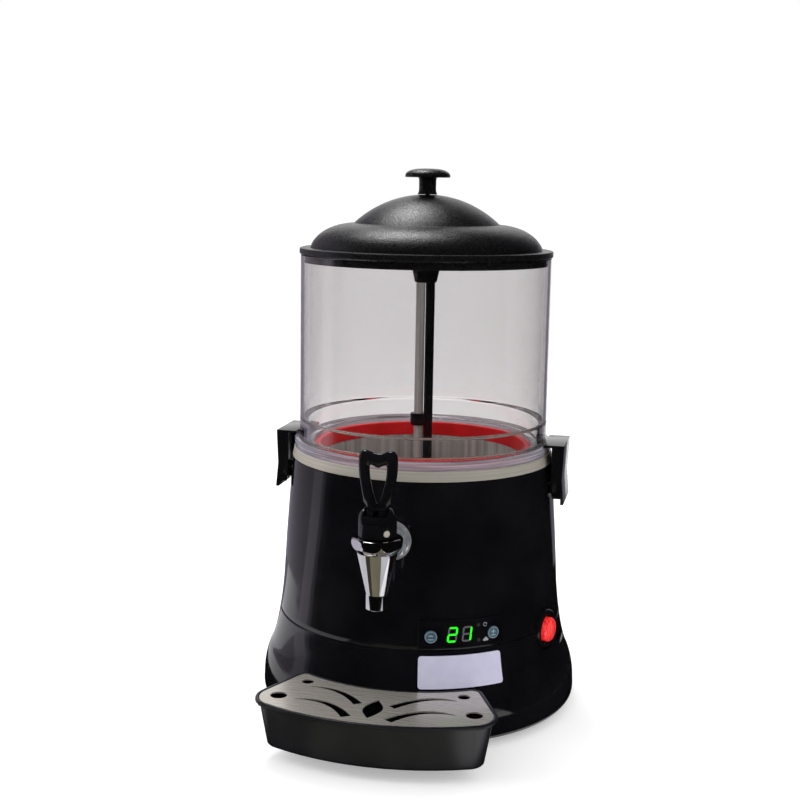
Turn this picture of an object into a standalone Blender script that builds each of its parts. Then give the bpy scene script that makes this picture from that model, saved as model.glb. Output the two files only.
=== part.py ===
"""Hot chocolate dispenser: a clear bowl latched over a heated steel pan, with a stirrer and a tap.

The frame stands on Z = 0, the machine's own axis is Z, the tap and the drip tray face -Y.
All lengths are in metres and all angles in degrees. Angles round the machine start at the
front and turn towards +X.
"""
import math

import bmesh
import bpy
from mathutils import Matrix, Vector

# Fits and resolution
GAP = 0.0003
OVERRUN = 0.002
ROUND_STEPS = 40
MEDIUM_STEPS = 24
SMALL_STEPS = 16
TINY_STEPS = 8
HEX_STEPS = 6
SHARP_ANGLE = 32.0
FULL_TURN = 360.0
FACET = FULL_TURN / ROUND_STEPS

# Base skirt: flared lower casing, its outline as shares of height and of flare
SKIRT_BOTTOM = 0.0075
SKIRT_TOP = 0.0823
SKIRT_TOP_RADIUS = 0.1257
SKIRT_FLARE = 0.0141
SKIRT_FOOT_RADIUS = SKIRT_TOP_RADIUS + SKIRT_FLARE
SKIRT_WALL = 0.003
SKIRT_OUTLINE_SHARES = [
    (0.0, 0.84), (0.04, 0.97), (0.19, 1.0), (0.30, 0.957), (0.41, 0.845), (0.51, 0.68),
    (0.58, 0.51), (0.66, 0.37), (0.795, 0.185), (0.93, 0.05), (1.0, 0.0)]
SKIRT_FLANGE_THICKNESS = 0.0024
SKIRT_FLANGE_INNER_RADIUS = 0.088
SPIGOT_SETBACK = 0.0043
SPIGOT_RADIUS = SKIRT_TOP_RADIUS - SPIGOT_SETBACK
SPIGOT_WALL = 0.0022
SPIGOT_RISE = 0.006
SPIGOT_ROOT_DROP = 0.006
SIDE_SLOT_WIDTH = 0.038
SIDE_SLOT_HEIGHT = 0.0085
SIDE_SLOT_CENTRE = 0.0648

# Upper casing shells
SHELL_TOP = 0.2196
SHELL_TAPER = 0.0104
SHELL_SETBACK = 0.0003
SHELL_BOTTOM_RADIUS = SKIRT_TOP_RADIUS - SHELL_SETBACK
SHELL_TOP_RADIUS = SHELL_BOTTOM_RADIUS - SHELL_TAPER
SHELL_WALL = 0.0028
SHELL_OUTLINE_SHARES = [
    (0.0, 1.0), (0.061, 0.894), (0.178, 0.73), (0.339, 0.596), (0.50, 0.471),
    (0.657, 0.327), (0.85, 0.142), (1.0, 0.0)]
SHELL_SEAM_ANGLE = 75.0
SHELL_SHELF_INNER_RADIUS = 0.104
SHELL_SHELF_DROP = 0.0011
SHELL_SHELF_THICKNESS = 0.003
VENT_COUNT = 5
VENT_WIDTH = 0.046
VENT_HEIGHT = 0.0035
VENT_PITCH = 0.009
VENT_LOWEST = 0.118

# Base plate and feet
PLATE_RADIUS = 0.135
PLATE_THICKNESS = 0.0012
FOOT_CIRCLE_RADIUS = 0.103
FOOT_RADIUS = 0.011
FOOT_ANGLES = {"front_right": 40.0, "rear_right": 140.0, "rear_left": 220.0, "front_left": 320.0}
FOOT_STUD_RADIUS = 0.003
FOOT_STUD_RISE = 0.0062
FOOT_CHAMFER = 0.0012

# Product pan
PAN_RADIUS = 0.09
PAN_WALL = 0.0012
PAN_FLOOR = 0.16
PAN_CORNER_RADIUS = 0.008
PAN_CORNER_STEPS = 2
PAN_RIM_RADIUS = 0.1115
PAN_OUTLET_RISE = 0.0125
PAN_OUTLET_HEIGHT = PAN_FLOOR + PAN_OUTLET_RISE
PAN_UNION_RADIUS = 0.0112
PAN_UNION_LENGTH = 0.0068
PAN_CENTRE_HOLE_RADIUS = 0.011

# Seal ring, trim ring and bowl
SEAL_INNER_RADIUS = 0.0903
SEAL_LIP_RADIUS = 0.0953
SEAL_FOOT_RADIUS = 0.107
SEAL_FOOT_THICKNESS = 0.0077
SEAL_HEIGHT = 0.012
SEAL_LIP_CHAMFER = 0.001
TRIM_TOP_RADIUS = 0.1135
TRIM_THICKNESS = 0.0012
TRIM_HEIGHT = 0.0081
BOWL_RADIUS = 0.109
BOWL_WALL = 0.003
BOWL_TOP = 0.396
BOWL_FLANGE_RADIUS = 0.1132
BOWL_FLANGE_HEIGHT = 0.0076
BOWL_FOOT_INNER_RADIUS = 0.0957
BOWL_LEDGE_INNER_RADIUS = 0.1014
BOWL_LEDGE_TOP = 0.253
BOWL_LEDGE_SLOPE = 0.0015
BOWL_LEDGE_BOTTOM_RISE = 0.0086

# Lid and knob
LID_LIP_RADIUS = 0.1098
LID_LIP_HEIGHT = 0.0052
LID_WALL = 0.0022
LID_SKIRT_RADIUS = 0.1055
LID_SKIRT_WALL = 0.0027
LID_SKIRT_DROP = 0.007
LID_SHOULDER_RADIUS = 0.0395
LID_SHOULDER_HEIGHT = 0.0266
LID_SHOULDER_CENTRE_RADIUS = 0.062
LID_SHOULDER_STEPS = 5
LID_CREASE_RADIUS = 0.0632
LID_CROWN_SPHERE = 0.092
LID_CROWN_TOP = 0.448
LID_CROWN_STEPS = 4
LID_HUB_RADIUS = 0.008
KNOB_TOP = 0.470
KNOB_DISC_RADIUS = 0.0195
KNOB_DISC_HEIGHT = 0.0072
KNOB_DISC_SHARES = [(0.94, 0.0), (1.0, 0.3), (0.96, 0.58), (0.72, 0.86), (0.38, 0.97)]
KNOB_NECK_RADIUS = 0.0074
KNOB_FOOT_RADIUS = 0.0112
KNOB_FOOT_HEIGHT = 0.0035
KNOB_SCREW_RADIUS = 0.002
KNOB_SCREW_LENGTH = 0.014
KNOB_SCREW_HEAD_RADIUS = 0.0045
KNOB_SCREW_HEAD_HEIGHT = 0.0025

# Stirrer, turned a little so that its two uprights lie as they were left
STIRRER_REST_ANGLE = 11.5
UPRIGHT_RADIUS = 0.004
UPRIGHT_OFFSET = 0.0042
HUB_DROP = 0.0235
HUB_BOTTOM = BOWL_TOP - HUB_DROP
UPRIGHT_SOCKET_DEPTH = 0.0065
UPRIGHT_TOP = HUB_BOTTOM + UPRIGHT_SOCKET_DEPTH
HUB_CONE_RISE = 0.0115
HUB_RIM_RISE = 0.007
HUB_CROWN_RISE = 0.003
HUB_SMALL_RADIUS = 0.0097
HUB_LARGE_RADIUS = 0.0122
PADDLE_HUB_RADIUS = 0.0122
PADDLE_HUB_HEIGHT = 0.04
PADDLE_HUB_TOP = PAN_FLOOR + PADDLE_HUB_HEIGHT
CLIP_RISE = 0.0465
CLIP_BOTTOM = PADDLE_HUB_TOP + CLIP_RISE
CLIP_HEIGHT = 0.0105
CLIP_RADIUS = 0.0073
PADDLE_SOCKET_DEPTH = 0.01
PADDLE_REACH = 0.08
PADDLE_BLADE_THICKNESS = 0.003
PADDLE_BLADE_HEIGHT = 0.022
PADDLE_BLADE_SWEEP = 0.016
PADDLE_BLADE_STEPS = 5
PADDLE_CLEARANCE = 0.0008
SHAFT_RADIUS = 0.004
SHAFT_RISE = 0.0266
SHAFT_TOP = PAN_FLOOR + SHAFT_RISE
SHAFT_SEAL_FLANGE_RADIUS = 0.014
SHAFT_SEAL_FLANGE_HEIGHT = 0.002
SHAFT_SEAL_DROP = 0.0026

# Heater, gear motor and its bracket, all under the pan
HEATER_INNER_RADIUS = 0.038
HEATER_OUTER_RADIUS = 0.068
HEATER_HEIGHT = 0.009
THERMOSTAT_RADIUS = 0.008
THERMOSTAT_HEIGHT = 0.009
THERMOSTAT_PLACE = 0.026
BRACKET_SPAN = 0.152
BRACKET_WIDTH = 0.036
BRACKET_SHEET = 0.0015
BRACKET_TAB = 0.006
BRACKET_DEPTH = 0.032
BRACKET_HOLE_RADIUS = 0.006
GEARBOX_LENGTH = 0.06
GEARBOX_WIDTH = 0.046
GEARBOX_HEIGHT = 0.028
GEARBOX_BORE_DEPTH = 0.009
MOTOR_RADIUS = 0.022
MOTOR_HEIGHT = 0.042
MOTOR_OFFSET = 0.006

# Latches that hold the bowl down, and the ears that carry them
LATCH_WIDTH = 0.05
LATCH_TOP = 0.2388
LATCH_TOP_PLATE = 0.0022
LATCH_HOOK_REACH = 0.1098
LATCH_END_INNER = 0.1172
LATCH_OUTER = 0.1279
LATCH_WAIST = 0.1266
LATCH_LIP_OUTER = 0.1286
LATCH_END_BOTTOM = 0.1925
LATCH_LIP_BOTTOM = 0.1875
LATCH_WAIST_HEIGHT = 0.209
LATCH_WALL = 0.0027
LATCH_END_WALL = 0.0022
LATCH_HEEL = 0.0016
LATCH_PIN_RADIUS = 0.0015
LATCH_PIN_OUT = 0.1203
LATCH_PIN_HEIGHT = 0.2
LATCH_PIN_PROUD = 0.0004
EAR_RADIUS = 0.003
EAR_THICKNESS = 0.003
EAR_SPACING = 0.032
EAR_ROOT = 0.1135

# Tap
TAP_REACH = 0.168
TAP_SPOUT_DROP = 0.042
TAP_SPOUT_BOTTOM = PAN_OUTLET_HEIGHT - TAP_SPOUT_DROP
TAP_SPOUT_RADIUS = 0.0085
TAP_SPOUT_STRAIGHT = 0.0125
TAP_CONE_RISE = 0.0017
TAP_CONE_TOP = PAN_OUTLET_HEIGHT + TAP_CONE_RISE
TAP_CONE_RADIUS = 0.0157
TAP_COLLAR_RADIUS = 0.0203
TAP_COLLAR_HEIGHT = 0.0144
TAP_COLLAR_TOP = TAP_CONE_TOP + TAP_COLLAR_HEIGHT
TAP_COLLAR_SHARES = [(0.0, 0.12), (0.42, 0.13), (0.85, 0.37), (1.0, 0.65), (0.96, 0.85), (0.62, 0.96)]
TAP_STEPS = 28
TAP_FLAT_COUNT = 8
TAP_FLAT_REACH = 0.0188
TAP_CHAMBER_RADIUS = 0.011
TAP_CHAMBER_DROP = 0.0065
TAP_CHAMBER_BOTTOM = PAN_OUTLET_HEIGHT - TAP_CHAMBER_DROP
TAP_SEAT_RADIUS = 0.0055
TAP_SEAT_DEPTH = 0.003
TAP_BOSS_RADIUS = 0.0112
TAP_BOSS_LENGTH = 0.008
TAP_INLET_RADIUS = 0.0052
SHANK_RADIUS = 0.008
SHANK_BORE_RADIUS = 0.0055
SHANK_SOCKET_DEPTH = 0.009
ROSETTE_RADIUS = 0.0168
ROSETTE_THICKNESS = 0.0034
ROSETTE_RIM = 0.0016
NUT_FLATS = 0.0256
NUT_THICKNESS = 0.0095
INNER_NUT_FLATS = 0.022
INNER_NUT_THICKNESS = 0.006
SHANK_SEAL_THICKNESS = 0.003
BONNET_RADIUS = 0.015
BONNET_BOTTOM = TAP_COLLAR_TOP + GAP
BONNET_SPIGOT_DROP = 0.0056
BONNET_FORK_RISE = 0.0064
BONNET_FORK_FLOOR = TAP_COLLAR_TOP + BONNET_FORK_RISE
BONNET_FORK_WIDTH = 0.0186
BONNET_CHEEK_RADIUS = 0.008
BONNET_SPRING_RADIUS = 0.0056
BONNET_SPRING_RISE = 0.0039
BONNET_SPRING_TOP = TAP_COLLAR_TOP + BONNET_SPRING_RISE
SET_SCREW_ANGLE = 42.0
SET_SCREW_RISE = 0.0032
SET_SCREW_HEIGHT = TAP_COLLAR_TOP + SET_SCREW_RISE
SET_SCREW_RADIUS = 0.0019
SET_SCREW_LENGTH = 0.0035
SET_SCREW_PROUD = 0.0003

# Tap lever and valve
LEVER_PIVOT_RISE = 0.0154
LEVER_PIVOT_HEIGHT = TAP_COLLAR_TOP + LEVER_PIVOT_RISE
LEVER_PIN_RADIUS = 0.0015
LEVER_PIN_LENGTH = 0.0292
LEVER_HUB_RADIUS = 0.0074
LEVER_HUB_WIDTH = 0.018
LEVER_THICKNESS = 0.0084
LEVER_HEIGHT = 0.052
LEVER_HALF_WIDTH = 0.0155
LEVER_OUTLINE_SHARES = [
    (0.50, 0.05), (0.565, 0.172), (0.71, 0.20), (0.85, 0.42), (0.97, 0.64), (1.0, 0.80),
    (0.97, 0.92), (0.84, 0.985), (0.66, 1.0), (0.46, 0.965), (0.24, 0.925), (0.0, 0.91)]
LEVER_WINDOW_SHARES = [
    (0.0, 0.19), (0.16, 0.30), (0.33, 0.48), (0.42, 0.64), (0.43, 0.755), (0.30, 0.775),
    (0.15, 0.75), (0.0, 0.735)]
LEVER_FORK_WIDTH = 0.0044
LEVER_FORK_RISE = 0.0055
CRANK_OFFSET = 0.0052
CRANK_RADIUS = 0.0011
CRANK_LENGTH = 0.0172
VALVE_ROD_RADIUS = 0.0022
VALVE_TONGUE_WIDTH = 0.0036
VALVE_TONGUE_BOTTOM = 0.0086
VALVE_TONGUE_SHOULDER = 0.0062
VALVE_TONGUE_FRONT = 0.0026
VALVE_TONGUE_NECK = 0.0019
VALVE_TONGUE_REAR = 0.008
VALVE_TONGUE_TOP = 0.003
VALVE_JAW_HALF = 0.00145
VALVE_JAW_REACH = 0.00665
SEAT_CUP_RADIUS = 0.0082
SEAT_CUP_HEIGHT = 0.0115
SEAT_CUP_NOSE = 0.002
ROD_TIP_RISE = 0.004
SPRING_RADIUS = 0.0042
SPRING_WIRE = 0.0004
SPRING_TURNS = 4
SPRING_TURN_POINTS = 8

# Drip tray and its grille
TRAY_RIM_TOP = 0.0518
TRAY_BOTTOM = 0.0123
TRAY_DEPTH = 0.073
TRAY_STANDOFF = 0.001155
TRAY_BACK_HALF_WIDTH = 0.0742
TRAY_FRONT_HALF_WIDTH = 0.1042
TRAY_FRONT_ROUNDING = 0.023
TRAY_BACK_ROUNDING = 0.009
TRAY_LEAST_ROUNDING = 0.0015
TRAY_ARC_STEPS = 8
TRAY_ROUNDING_STEPS = 4
TRAY_RIM_OVERHANG = 0.0032
TRAY_RIM_THICKNESS = 0.003
TRAY_RIM_WIDTH = 0.0026
TRAY_DRAFT = 0.0058
TRAY_WALL = 0.0022
TRAY_FLOOR = 0.0024
TRAY_SEAT_DEPTH = 0.0018
TRAY_SEAT_WIDTH = 0.003
TRAY_EDGE_ROUNDING = 0.003
LUG_OFFSET = 0.035
LUG_WIDTH = 0.016
LUG_HEIGHT = 0.0056
LUG_BOTTOM = 0.0185
LUG_REACH = 0.0128
LUG_CLEARANCE = 0.0006
GRILLE_THICKNESS = 0.0012
GRILLE_REAR_HOLE = (0.0651, 0.1345, 0.0049)
GRILLE_FRONT_HOLE = (0.0793, 0.1685, 0.0067)
GRILLE_SLOT_STEPS = 6
GRILLE_SLOT_TIP_SHARE = 0.06
GRILLE_SLOT_GROWTH_SHARE = 0.94
GRILLE_REAR_SLOT = {"tip": (0.0615, 0.1447), "bend": (0.0348, 0.1387), "end": (0.0134, 0.1692),
                    "width": 0.0078}
GRILLE_FRONT_SLOT = {"tip": (0.065, 0.1723), "bend": (0.0358, 0.1643), "end": (0.0164, 0.1955),
                     "width": 0.0085}
GRILLE_LEAF_BACK = 0.1568
GRILLE_LEAF_FRONT = 0.1945
GRILLE_LEAF_HALF_WIDTH = 0.0078
GRILLE_LEAF_STEPS = 6

# Control panel, buttons, board and blank plate
PANEL_ANGLE = 28.2
PANEL_HALF_ANGLE = 17.0
PANEL_BOTTOM = 0.0834
PANEL_TOP = 0.1074
PANEL_THICKNESS = 0.0012
PANEL_BUTTON_ANGLE = 12.3
PANEL_BUTTON_HEIGHT = 0.094
BUTTON_RADIUS = 0.0053
BUTTON_PROUD = 0.0008
BUTTON_LENGTH = 0.0085
WINDOW_HALF_WIDTH = 0.0145
WINDOW_BOTTOM = 0.086
WINDOW_TOP = 0.104
BOARD_DISTANCE = 0.1116
BOARD_THICKNESS = 0.0016
BOARD_HALF_WIDTH = 0.032
BOARD_BOTTOM = 0.0845
BOARD_TOP = 0.1065
BOARD_POST_RADIUS = 0.002
BOARD_POST_INSET = 0.003
BOARD_POST_SPREAD = 0.0296
BOARD_POST_REACH = 0.1142
DIGIT_HALF_WIDTH = 0.013
DIGIT_HALF_HEIGHT = 0.0063
DIGIT_REACH = 0.1205
PAD_RADIUS = 0.0022
PAD_REACH = 0.1126
PLATE_LABEL_ANGLE = 27.3
PLATE_LABEL_HALF_ANGLE = 15.6
PLATE_LABEL_BOTTOM = 0.0525
PLATE_LABEL_TOP = 0.0782
PLATE_LABEL_THICKNESS = 0.0008

# Power switch, inlet and mains board
SWITCH_ANGLE = 71.0
SWITCH_HEIGHT = 0.082
SWITCH_RADIUS = 0.017
SWITCH_FACE = 0.1284
SWITCH_RIM_WIDTH = 0.0055
SWITCH_WELL_DEPTH = 0.0075
SWITCH_BODY_RADIUS = 0.0125
SWITCH_BODY_BACK = 0.104
SWITCH_FLANGE_BACK = 0.116
SWITCH_GUIDE_RADIUS = 0.0045
SWITCH_BUTTON_RADIUS = 0.0104
SWITCH_BUTTON_CROWN = 0.0028
SWITCH_CROWN_SHARES = [(1.0, 0.0), (0.86, 0.5), (0.5, 0.86), (0.0, 1.0)]
SWITCH_BUTTON_PROUD = 0.0018
SWITCH_STEM_RADIUS = 0.0041
SWITCH_STEM_LENGTH = 0.006
SWITCH_TRAVEL = 0.0025
INLET_HEIGHT = 0.041
INLET_WIDTH = 0.0276
INLET_TALL = 0.0204
INLET_FACE = SKIRT_FOOT_RADIUS
INLET_PAD_DEPTH = 0.013
INLET_PAD_BACK = INLET_FACE - INLET_PAD_DEPTH
INLET_DEPTH = 0.03
INLET_FLANGE = 0.0028
INLET_FLANGE_THICKNESS = 0.0024
INLET_WELL_DEPTH = 0.0155
INLET_WELL_WALL = 0.0022
INLET_PIN_WIDTH = 0.004
INLET_PIN_TALL = 0.002
INLET_PIN_LENGTH = 0.0125
INLET_PIN_SPREAD = 0.007
INLET_PIN_STEP = 0.002
MAINS_BOARD_LENGTH = 0.084
MAINS_BOARD_WIDTH = 0.05
MAINS_BOARD_RISE = 0.008
MAINS_BOARD_PLACE = 0.062
MAINS_POST_RADIUS = 0.003
MAINS_POST_INSET = 0.006
TRANSFORMER = (0.032, 0.03, 0.024)
CAPACITOR_RADIUS = 0.006
CAPACITOR_HEIGHT = 0.018
TERMINAL = (0.03, 0.012, 0.012)

# Colours as linear red, green, blue
BLACK_GLOSS = (0.006, 0.006, 0.007)
BLACK_SATIN = (0.012, 0.012, 0.013)
BLACK_RUBBER = (0.01, 0.01, 0.01)
CLEAR = (0.92, 0.92, 0.95)
STEEL = (0.55, 0.53, 0.5)
CHROME = (0.8, 0.8, 0.82)
RED_SILICONE = (0.55, 0.01, 0.012)
RED_LENS = (0.7, 0.02, 0.02)
WHITE_PLATE = (0.72, 0.71, 0.82)
GREEN_BOARD = (0.02, 0.12, 0.04)
BUTTON_BLUE = (0.09, 0.15, 0.19)
ALUMINIUM = (0.6, 0.6, 0.6)
BRASS = (0.6, 0.42, 0.15)
ZINC = (0.45, 0.45, 0.46)
NUT_ROUGHNESS = 0.08


def clear_scene():
    """Remove whatever the open file holds."""
    for item in list(bpy.data.objects):
        bpy.data.objects.remove(item, do_unlink=True)


def make_material(name, colour, roughness, metallic=0.0, transmission=0.0):
    """Return a Principled material for one sub-part."""
    made = bpy.data.materials.new(name)
    made.use_nodes = True
    shader = made.node_tree.nodes["Principled BSDF"]
    shader.inputs["Base Color"].default_value = (*colour, 1.0)
    shader.inputs["Roughness"].default_value = roughness
    shader.inputs["Metallic"].default_value = metallic
    shader.inputs["Transmission Weight"].default_value = transmission
    return made


def add_piece(name, shape, look, origin=(0.0, 0.0, 0.0), group=None):
    """Turn a finished shape into a named object whose origin is the given world point."""
    bmesh.ops.recalc_face_normals(shape, faces=shape.faces)
    bmesh.ops.translate(shape, verts=shape.verts, vec=-Vector(origin))
    mesh = bpy.data.meshes.new(name)
    shape.to_mesh(mesh)
    shape.free()
    mesh.shade_smooth()
    mesh.set_sharp_from_angle(angle=math.radians(SHARP_ANGLE))
    mesh.materials.append(make_material(name, *look))
    piece = bpy.data.objects.new(name, mesh)
    piece.location = origin
    bpy.context.scene.collection.objects.link(piece)
    if group is not None:
        piece.parent = group
        piece.location = Vector(origin) - group.location
    return piece


def add_group(name, origin):
    """Return an empty that a moving group of pieces hangs from."""
    group = bpy.data.objects.new(name, None)
    group.location = origin
    bpy.context.scene.collection.objects.link(group)
    return group


def add_boolean(piece, shape, operation):
    """Cut a shape from a piece, or join it on, and return the hidden tool object."""
    bmesh.ops.recalc_face_normals(shape, faces=shape.faces)
    name = piece.name + "_tool_" + str(len(piece.modifiers))
    mesh = bpy.data.meshes.new(name)
    shape.to_mesh(mesh)
    shape.free()
    mesh.shade_smooth()
    mesh.set_sharp_from_angle(angle=math.radians(SHARP_ANGLE))
    tool = bpy.data.objects.new(name, mesh)
    tool.hide_render = True
    tool.display_type = "WIRE"
    bpy.context.scene.collection.objects.link(tool)
    step = piece.modifiers.new(name, "BOOLEAN")
    step.operation = operation
    step.object = tool
    return tool


def cut(piece, shape):
    """Take a shape away from a piece."""
    return add_boolean(piece, shape, "DIFFERENCE")


def join(piece, shape):
    """Join a shape to a piece."""
    return add_boolean(piece, shape, "UNION")


def polar(angle, radius, height):
    """Return the point at an angle from the front, turning towards +X."""
    turn = math.radians(angle)
    return Vector((radius * math.sin(turn), -radius * math.cos(turn), height))


def facet_share(angle):
    """Return how far a facet of the round casing lies from its corner circle at an angle."""
    half = math.radians(FACET) / 2.0
    within = math.radians(angle % FACET) - half
    return math.cos(half) / math.cos(within)


def aligned_angles(start, end):
    """Return the start, the end, and every facet corner of the round casing between them."""
    first = math.floor(start / FACET) + 1
    last = math.ceil(end / FACET) - 1
    return [start] + [count * FACET for count in range(first, last + 1)] + [end]


def even_angles(steps):
    """Return the angles of a full turn in equal steps."""
    return [FULL_TURN * count / steps for count in range(steps)]


def revolve(profile, angles, closed=True, faceted=False):
    """Turn a closed profile of (radius, height) points about Z through the given angles."""
    shape = bmesh.new()
    columns = []
    for radius, height in profile:
        if radius == 0.0:
            columns.append([shape.verts.new((0.0, 0.0, height))])
            continue
        ring = []
        for angle in angles:
            share = facet_share(angle) if faceted else 1.0
            ring.append(shape.verts.new(polar(angle, radius * share, height)))
        columns.append(ring)
    spans = len(angles) if closed else len(angles) - 1
    for place, lower in enumerate(columns):
        upper = columns[(place + 1) % len(columns)]
        for index in range(spans):
            after = (index + 1) % len(angles)
            corners = [lower[index % len(lower)], lower[after % len(lower)],
                       upper[after % len(upper)], upper[index % len(upper)]]
            unique = list(dict.fromkeys(corners))
            if len(unique) > 2:
                shape.faces.new(unique)
    if not closed:
        shape.faces.new([ring[0] for ring in columns])
        shape.faces.new([ring[-1] for ring in reversed(columns)])
    return shape


def turned(profile, steps=ROUND_STEPS):
    """Turn a closed profile through a full turn about Z."""
    return revolve(profile, even_angles(steps))


def cylinder(radius, low, high, steps=SMALL_STEPS):
    """Return a plain round bar along Z."""
    return turned([(0.0, low), (radius, low), (radius, high), (0.0, high)], steps)


def tube(inner, outer, low, high, steps=SMALL_STEPS):
    """Return a plain round tube along Z."""
    return turned([(inner, low), (outer, low), (outer, high), (inner, high)], steps)


def loft(rings):
    """Join rings of equally many points, and cap the first and the last."""
    shape = bmesh.new()
    rows = [[shape.verts.new(point) for point in ring] for ring in rings]
    count = len(rows[0])
    for lower, upper in zip(rows, rows[1:]):
        for index in range(count):
            after = (index + 1) % count
            shape.faces.new((lower[index], lower[after], upper[after], upper[index]))
    shape.faces.new(list(reversed(rows[0])))
    shape.faces.new(rows[-1])
    return shape


def prism(outline, low, high):
    """Raise an outline of (x, y) points from one height to another."""
    return loft([[(x, y, low) for x, y in outline], [(x, y, high) for x, y in outline]])


def side_prism(outline, half_width):
    """Stretch an outline of (y, z) points evenly to both sides along X."""
    return loft([[(-half_width, y, z) for y, z in outline], [(half_width, y, z) for y, z in outline]])


def front_prism(outline, half_width):
    """Stretch an outline of (x, z) points evenly to both sides along Y."""
    return loft([[(x, -half_width, z) for x, z in outline], [(x, half_width, z) for x, z in outline]])


def box(low, high):
    """Return a box between two opposite corners."""
    outline = [(low[0], low[1]), (high[0], low[1]), (high[0], high[1]), (low[0], high[1])]
    return prism(outline, low[2], high[2])


def merge(shapes):
    """Put several separate shapes into one, for use as one tool."""
    whole = bmesh.new()
    for shape in shapes:
        held = bpy.data.meshes.new("held")
        bmesh.ops.recalc_face_normals(shape, faces=shape.faces)
        shape.to_mesh(held)
        shape.free()
        whole.from_mesh(held)
        bpy.data.meshes.remove(held)
    return whole


def moved(shape, matrix):
    """Return the shape after a transform."""
    shape.transform(matrix)
    return shape


def outward(angle, height):
    """Return the transform that turns local Z outwards from the machine at an angle."""
    turn = math.radians(angle)
    across = Vector((math.cos(turn), math.sin(turn), 0.0))
    up = Vector((0.0, 0.0, 1.0))
    out = Vector((math.sin(turn), -math.cos(turn), 0.0))
    matrix = Matrix((across, up, out)).transposed().to_4x4()
    matrix.translation = (0.0, 0.0, height)
    return matrix


def along_x():
    """Return the transform that turns local Z to +X."""
    return Matrix.Rotation(math.radians(90.0), 4, "Y")


def half_step(steps):
    """Return the turn about Z that puts a flat where a corner was."""
    return Matrix.Rotation(math.pi / steps, 4, "Z")


def shift(x=0.0, y=0.0, z=0.0):
    """Return a plain move."""
    return Matrix.Translation((x, y, z))


def outline_at(height, shares, low, high, small, large):
    """Return a casing's radius at a height, between the points of its table of shares."""
    place = (height - low) / (high - low)
    pairs = list(zip(shares, shares[1:]))
    for (start, first), (end, second) in pairs:
        if place <= end:
            break
    within = (place - start) / (end - start)
    return small + (first + (second - first) * within) * (large - small)


def skirt_radius(height):
    """Return the base skirt's outer radius at a height."""
    return outline_at(height, SKIRT_OUTLINE_SHARES, SKIRT_BOTTOM, SKIRT_TOP,
                      SKIRT_TOP_RADIUS, SKIRT_FOOT_RADIUS)


def shell_radius(height):
    """Return the upper casing's outer radius at a height."""
    return outline_at(height, SHELL_OUTLINE_SHARES, SHELL_BOTTOM, SHELL_TOP,
                      SHELL_TOP_RADIUS, SHELL_BOTTOM_RADIUS)


def levels(shares, low, high):
    """Return the heights at which a table of shares has its points."""
    return [low + share * (high - low) for share, _ in shares]


# Heights and places that follow from the sizes above
SHELL_BOTTOM = SKIRT_TOP + GAP
FLANGE_TOP = SKIRT_BOTTOM + SKIRT_FLANGE_THICKNESS
PLATE_BOTTOM = FLANGE_TOP + GAP
PLATE_TOP = PLATE_BOTTOM + PLATE_THICKNESS
SHELF_TOP = SHELL_TOP - SHELL_SHELF_DROP
PAN_RIM_BOTTOM = SHELF_TOP + GAP
PAN_RIM_TOP = PAN_RIM_BOTTOM + PAN_WALL
PAN_UNDERSIDE = PAN_FLOOR - PAN_WALL
SEAL_BOTTOM = PAN_RIM_TOP + GAP
SEAL_FOOT_TOP = SEAL_BOTTOM + SEAL_FOOT_THICKNESS
TRIM_BOTTOM = SHELL_TOP + GAP
TRIM_TOP = TRIM_BOTTOM + TRIM_HEIGHT
BOWL_BOTTOM = max(SEAL_FOOT_TOP, TRIM_TOP) + GAP
BOWL_FLANGE_TOP = BOWL_BOTTOM + BOWL_FLANGE_HEIGHT
LID_BOTTOM = BOWL_TOP + GAP
SHAFT_BORE_RADIUS = SHAFT_RADIUS + GAP
UPRIGHT_BOTTOM = PADDLE_HUB_TOP - PADDLE_SOCKET_DEPTH + GAP
BRACKET_TOP = PAN_UNDERSIDE - GAP
BRACKET_FLOOR_TOP = BRACKET_TOP - BRACKET_DEPTH
GEARBOX_TOP = BRACKET_FLOOR_TOP - BRACKET_SHEET - GAP
GEARBOX_BOTTOM = GEARBOX_TOP - GEARBOX_HEIGHT
SHANK_SOCKET_END = TAP_REACH - TAP_COLLAR_RADIUS - TAP_BOSS_LENGTH + SHANK_SOCKET_DEPTH
TAP_BOSS_END = TAP_REACH - TAP_COLLAR_RADIUS + OVERRUN - TAP_BOSS_LENGTH
ROSETTE_BACK = shell_radius(PAN_OUTLET_HEIGHT - ROSETTE_RADIUS) + GAP
TRAY_RIM_BOTTOM = TRAY_RIM_TOP - TRAY_RIM_THICKNESS
TRAY_BACK_RADIUS = skirt_radius(TRAY_RIM_BOTTOM) + TRAY_STANDOFF
TRAY_OUTER_RADIUS = TRAY_BACK_RADIUS + TRAY_DEPTH
LUG_END = SKIRT_FOOT_RADIUS - LUG_REACH
LUG_LEVEL_SHARE = (TRAY_RIM_BOTTOM - LUG_BOTTOM - LUG_HEIGHT / 2.0) / (TRAY_RIM_BOTTOM - TRAY_BOTTOM)
LUG_START_RADIUS = TRAY_BACK_RADIUS + TRAY_RIM_OVERHANG + TRAY_DRAFT * LUG_LEVEL_SHARE + TRAY_WALL / 2.0
GRILLE_BOTTOM = TRAY_RIM_TOP - TRAY_SEAT_DEPTH + GAP
SIDES = (-1.0, 1.0)
LATCH_SIDES = {"left": -1.0, "right": 1.0}


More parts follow.
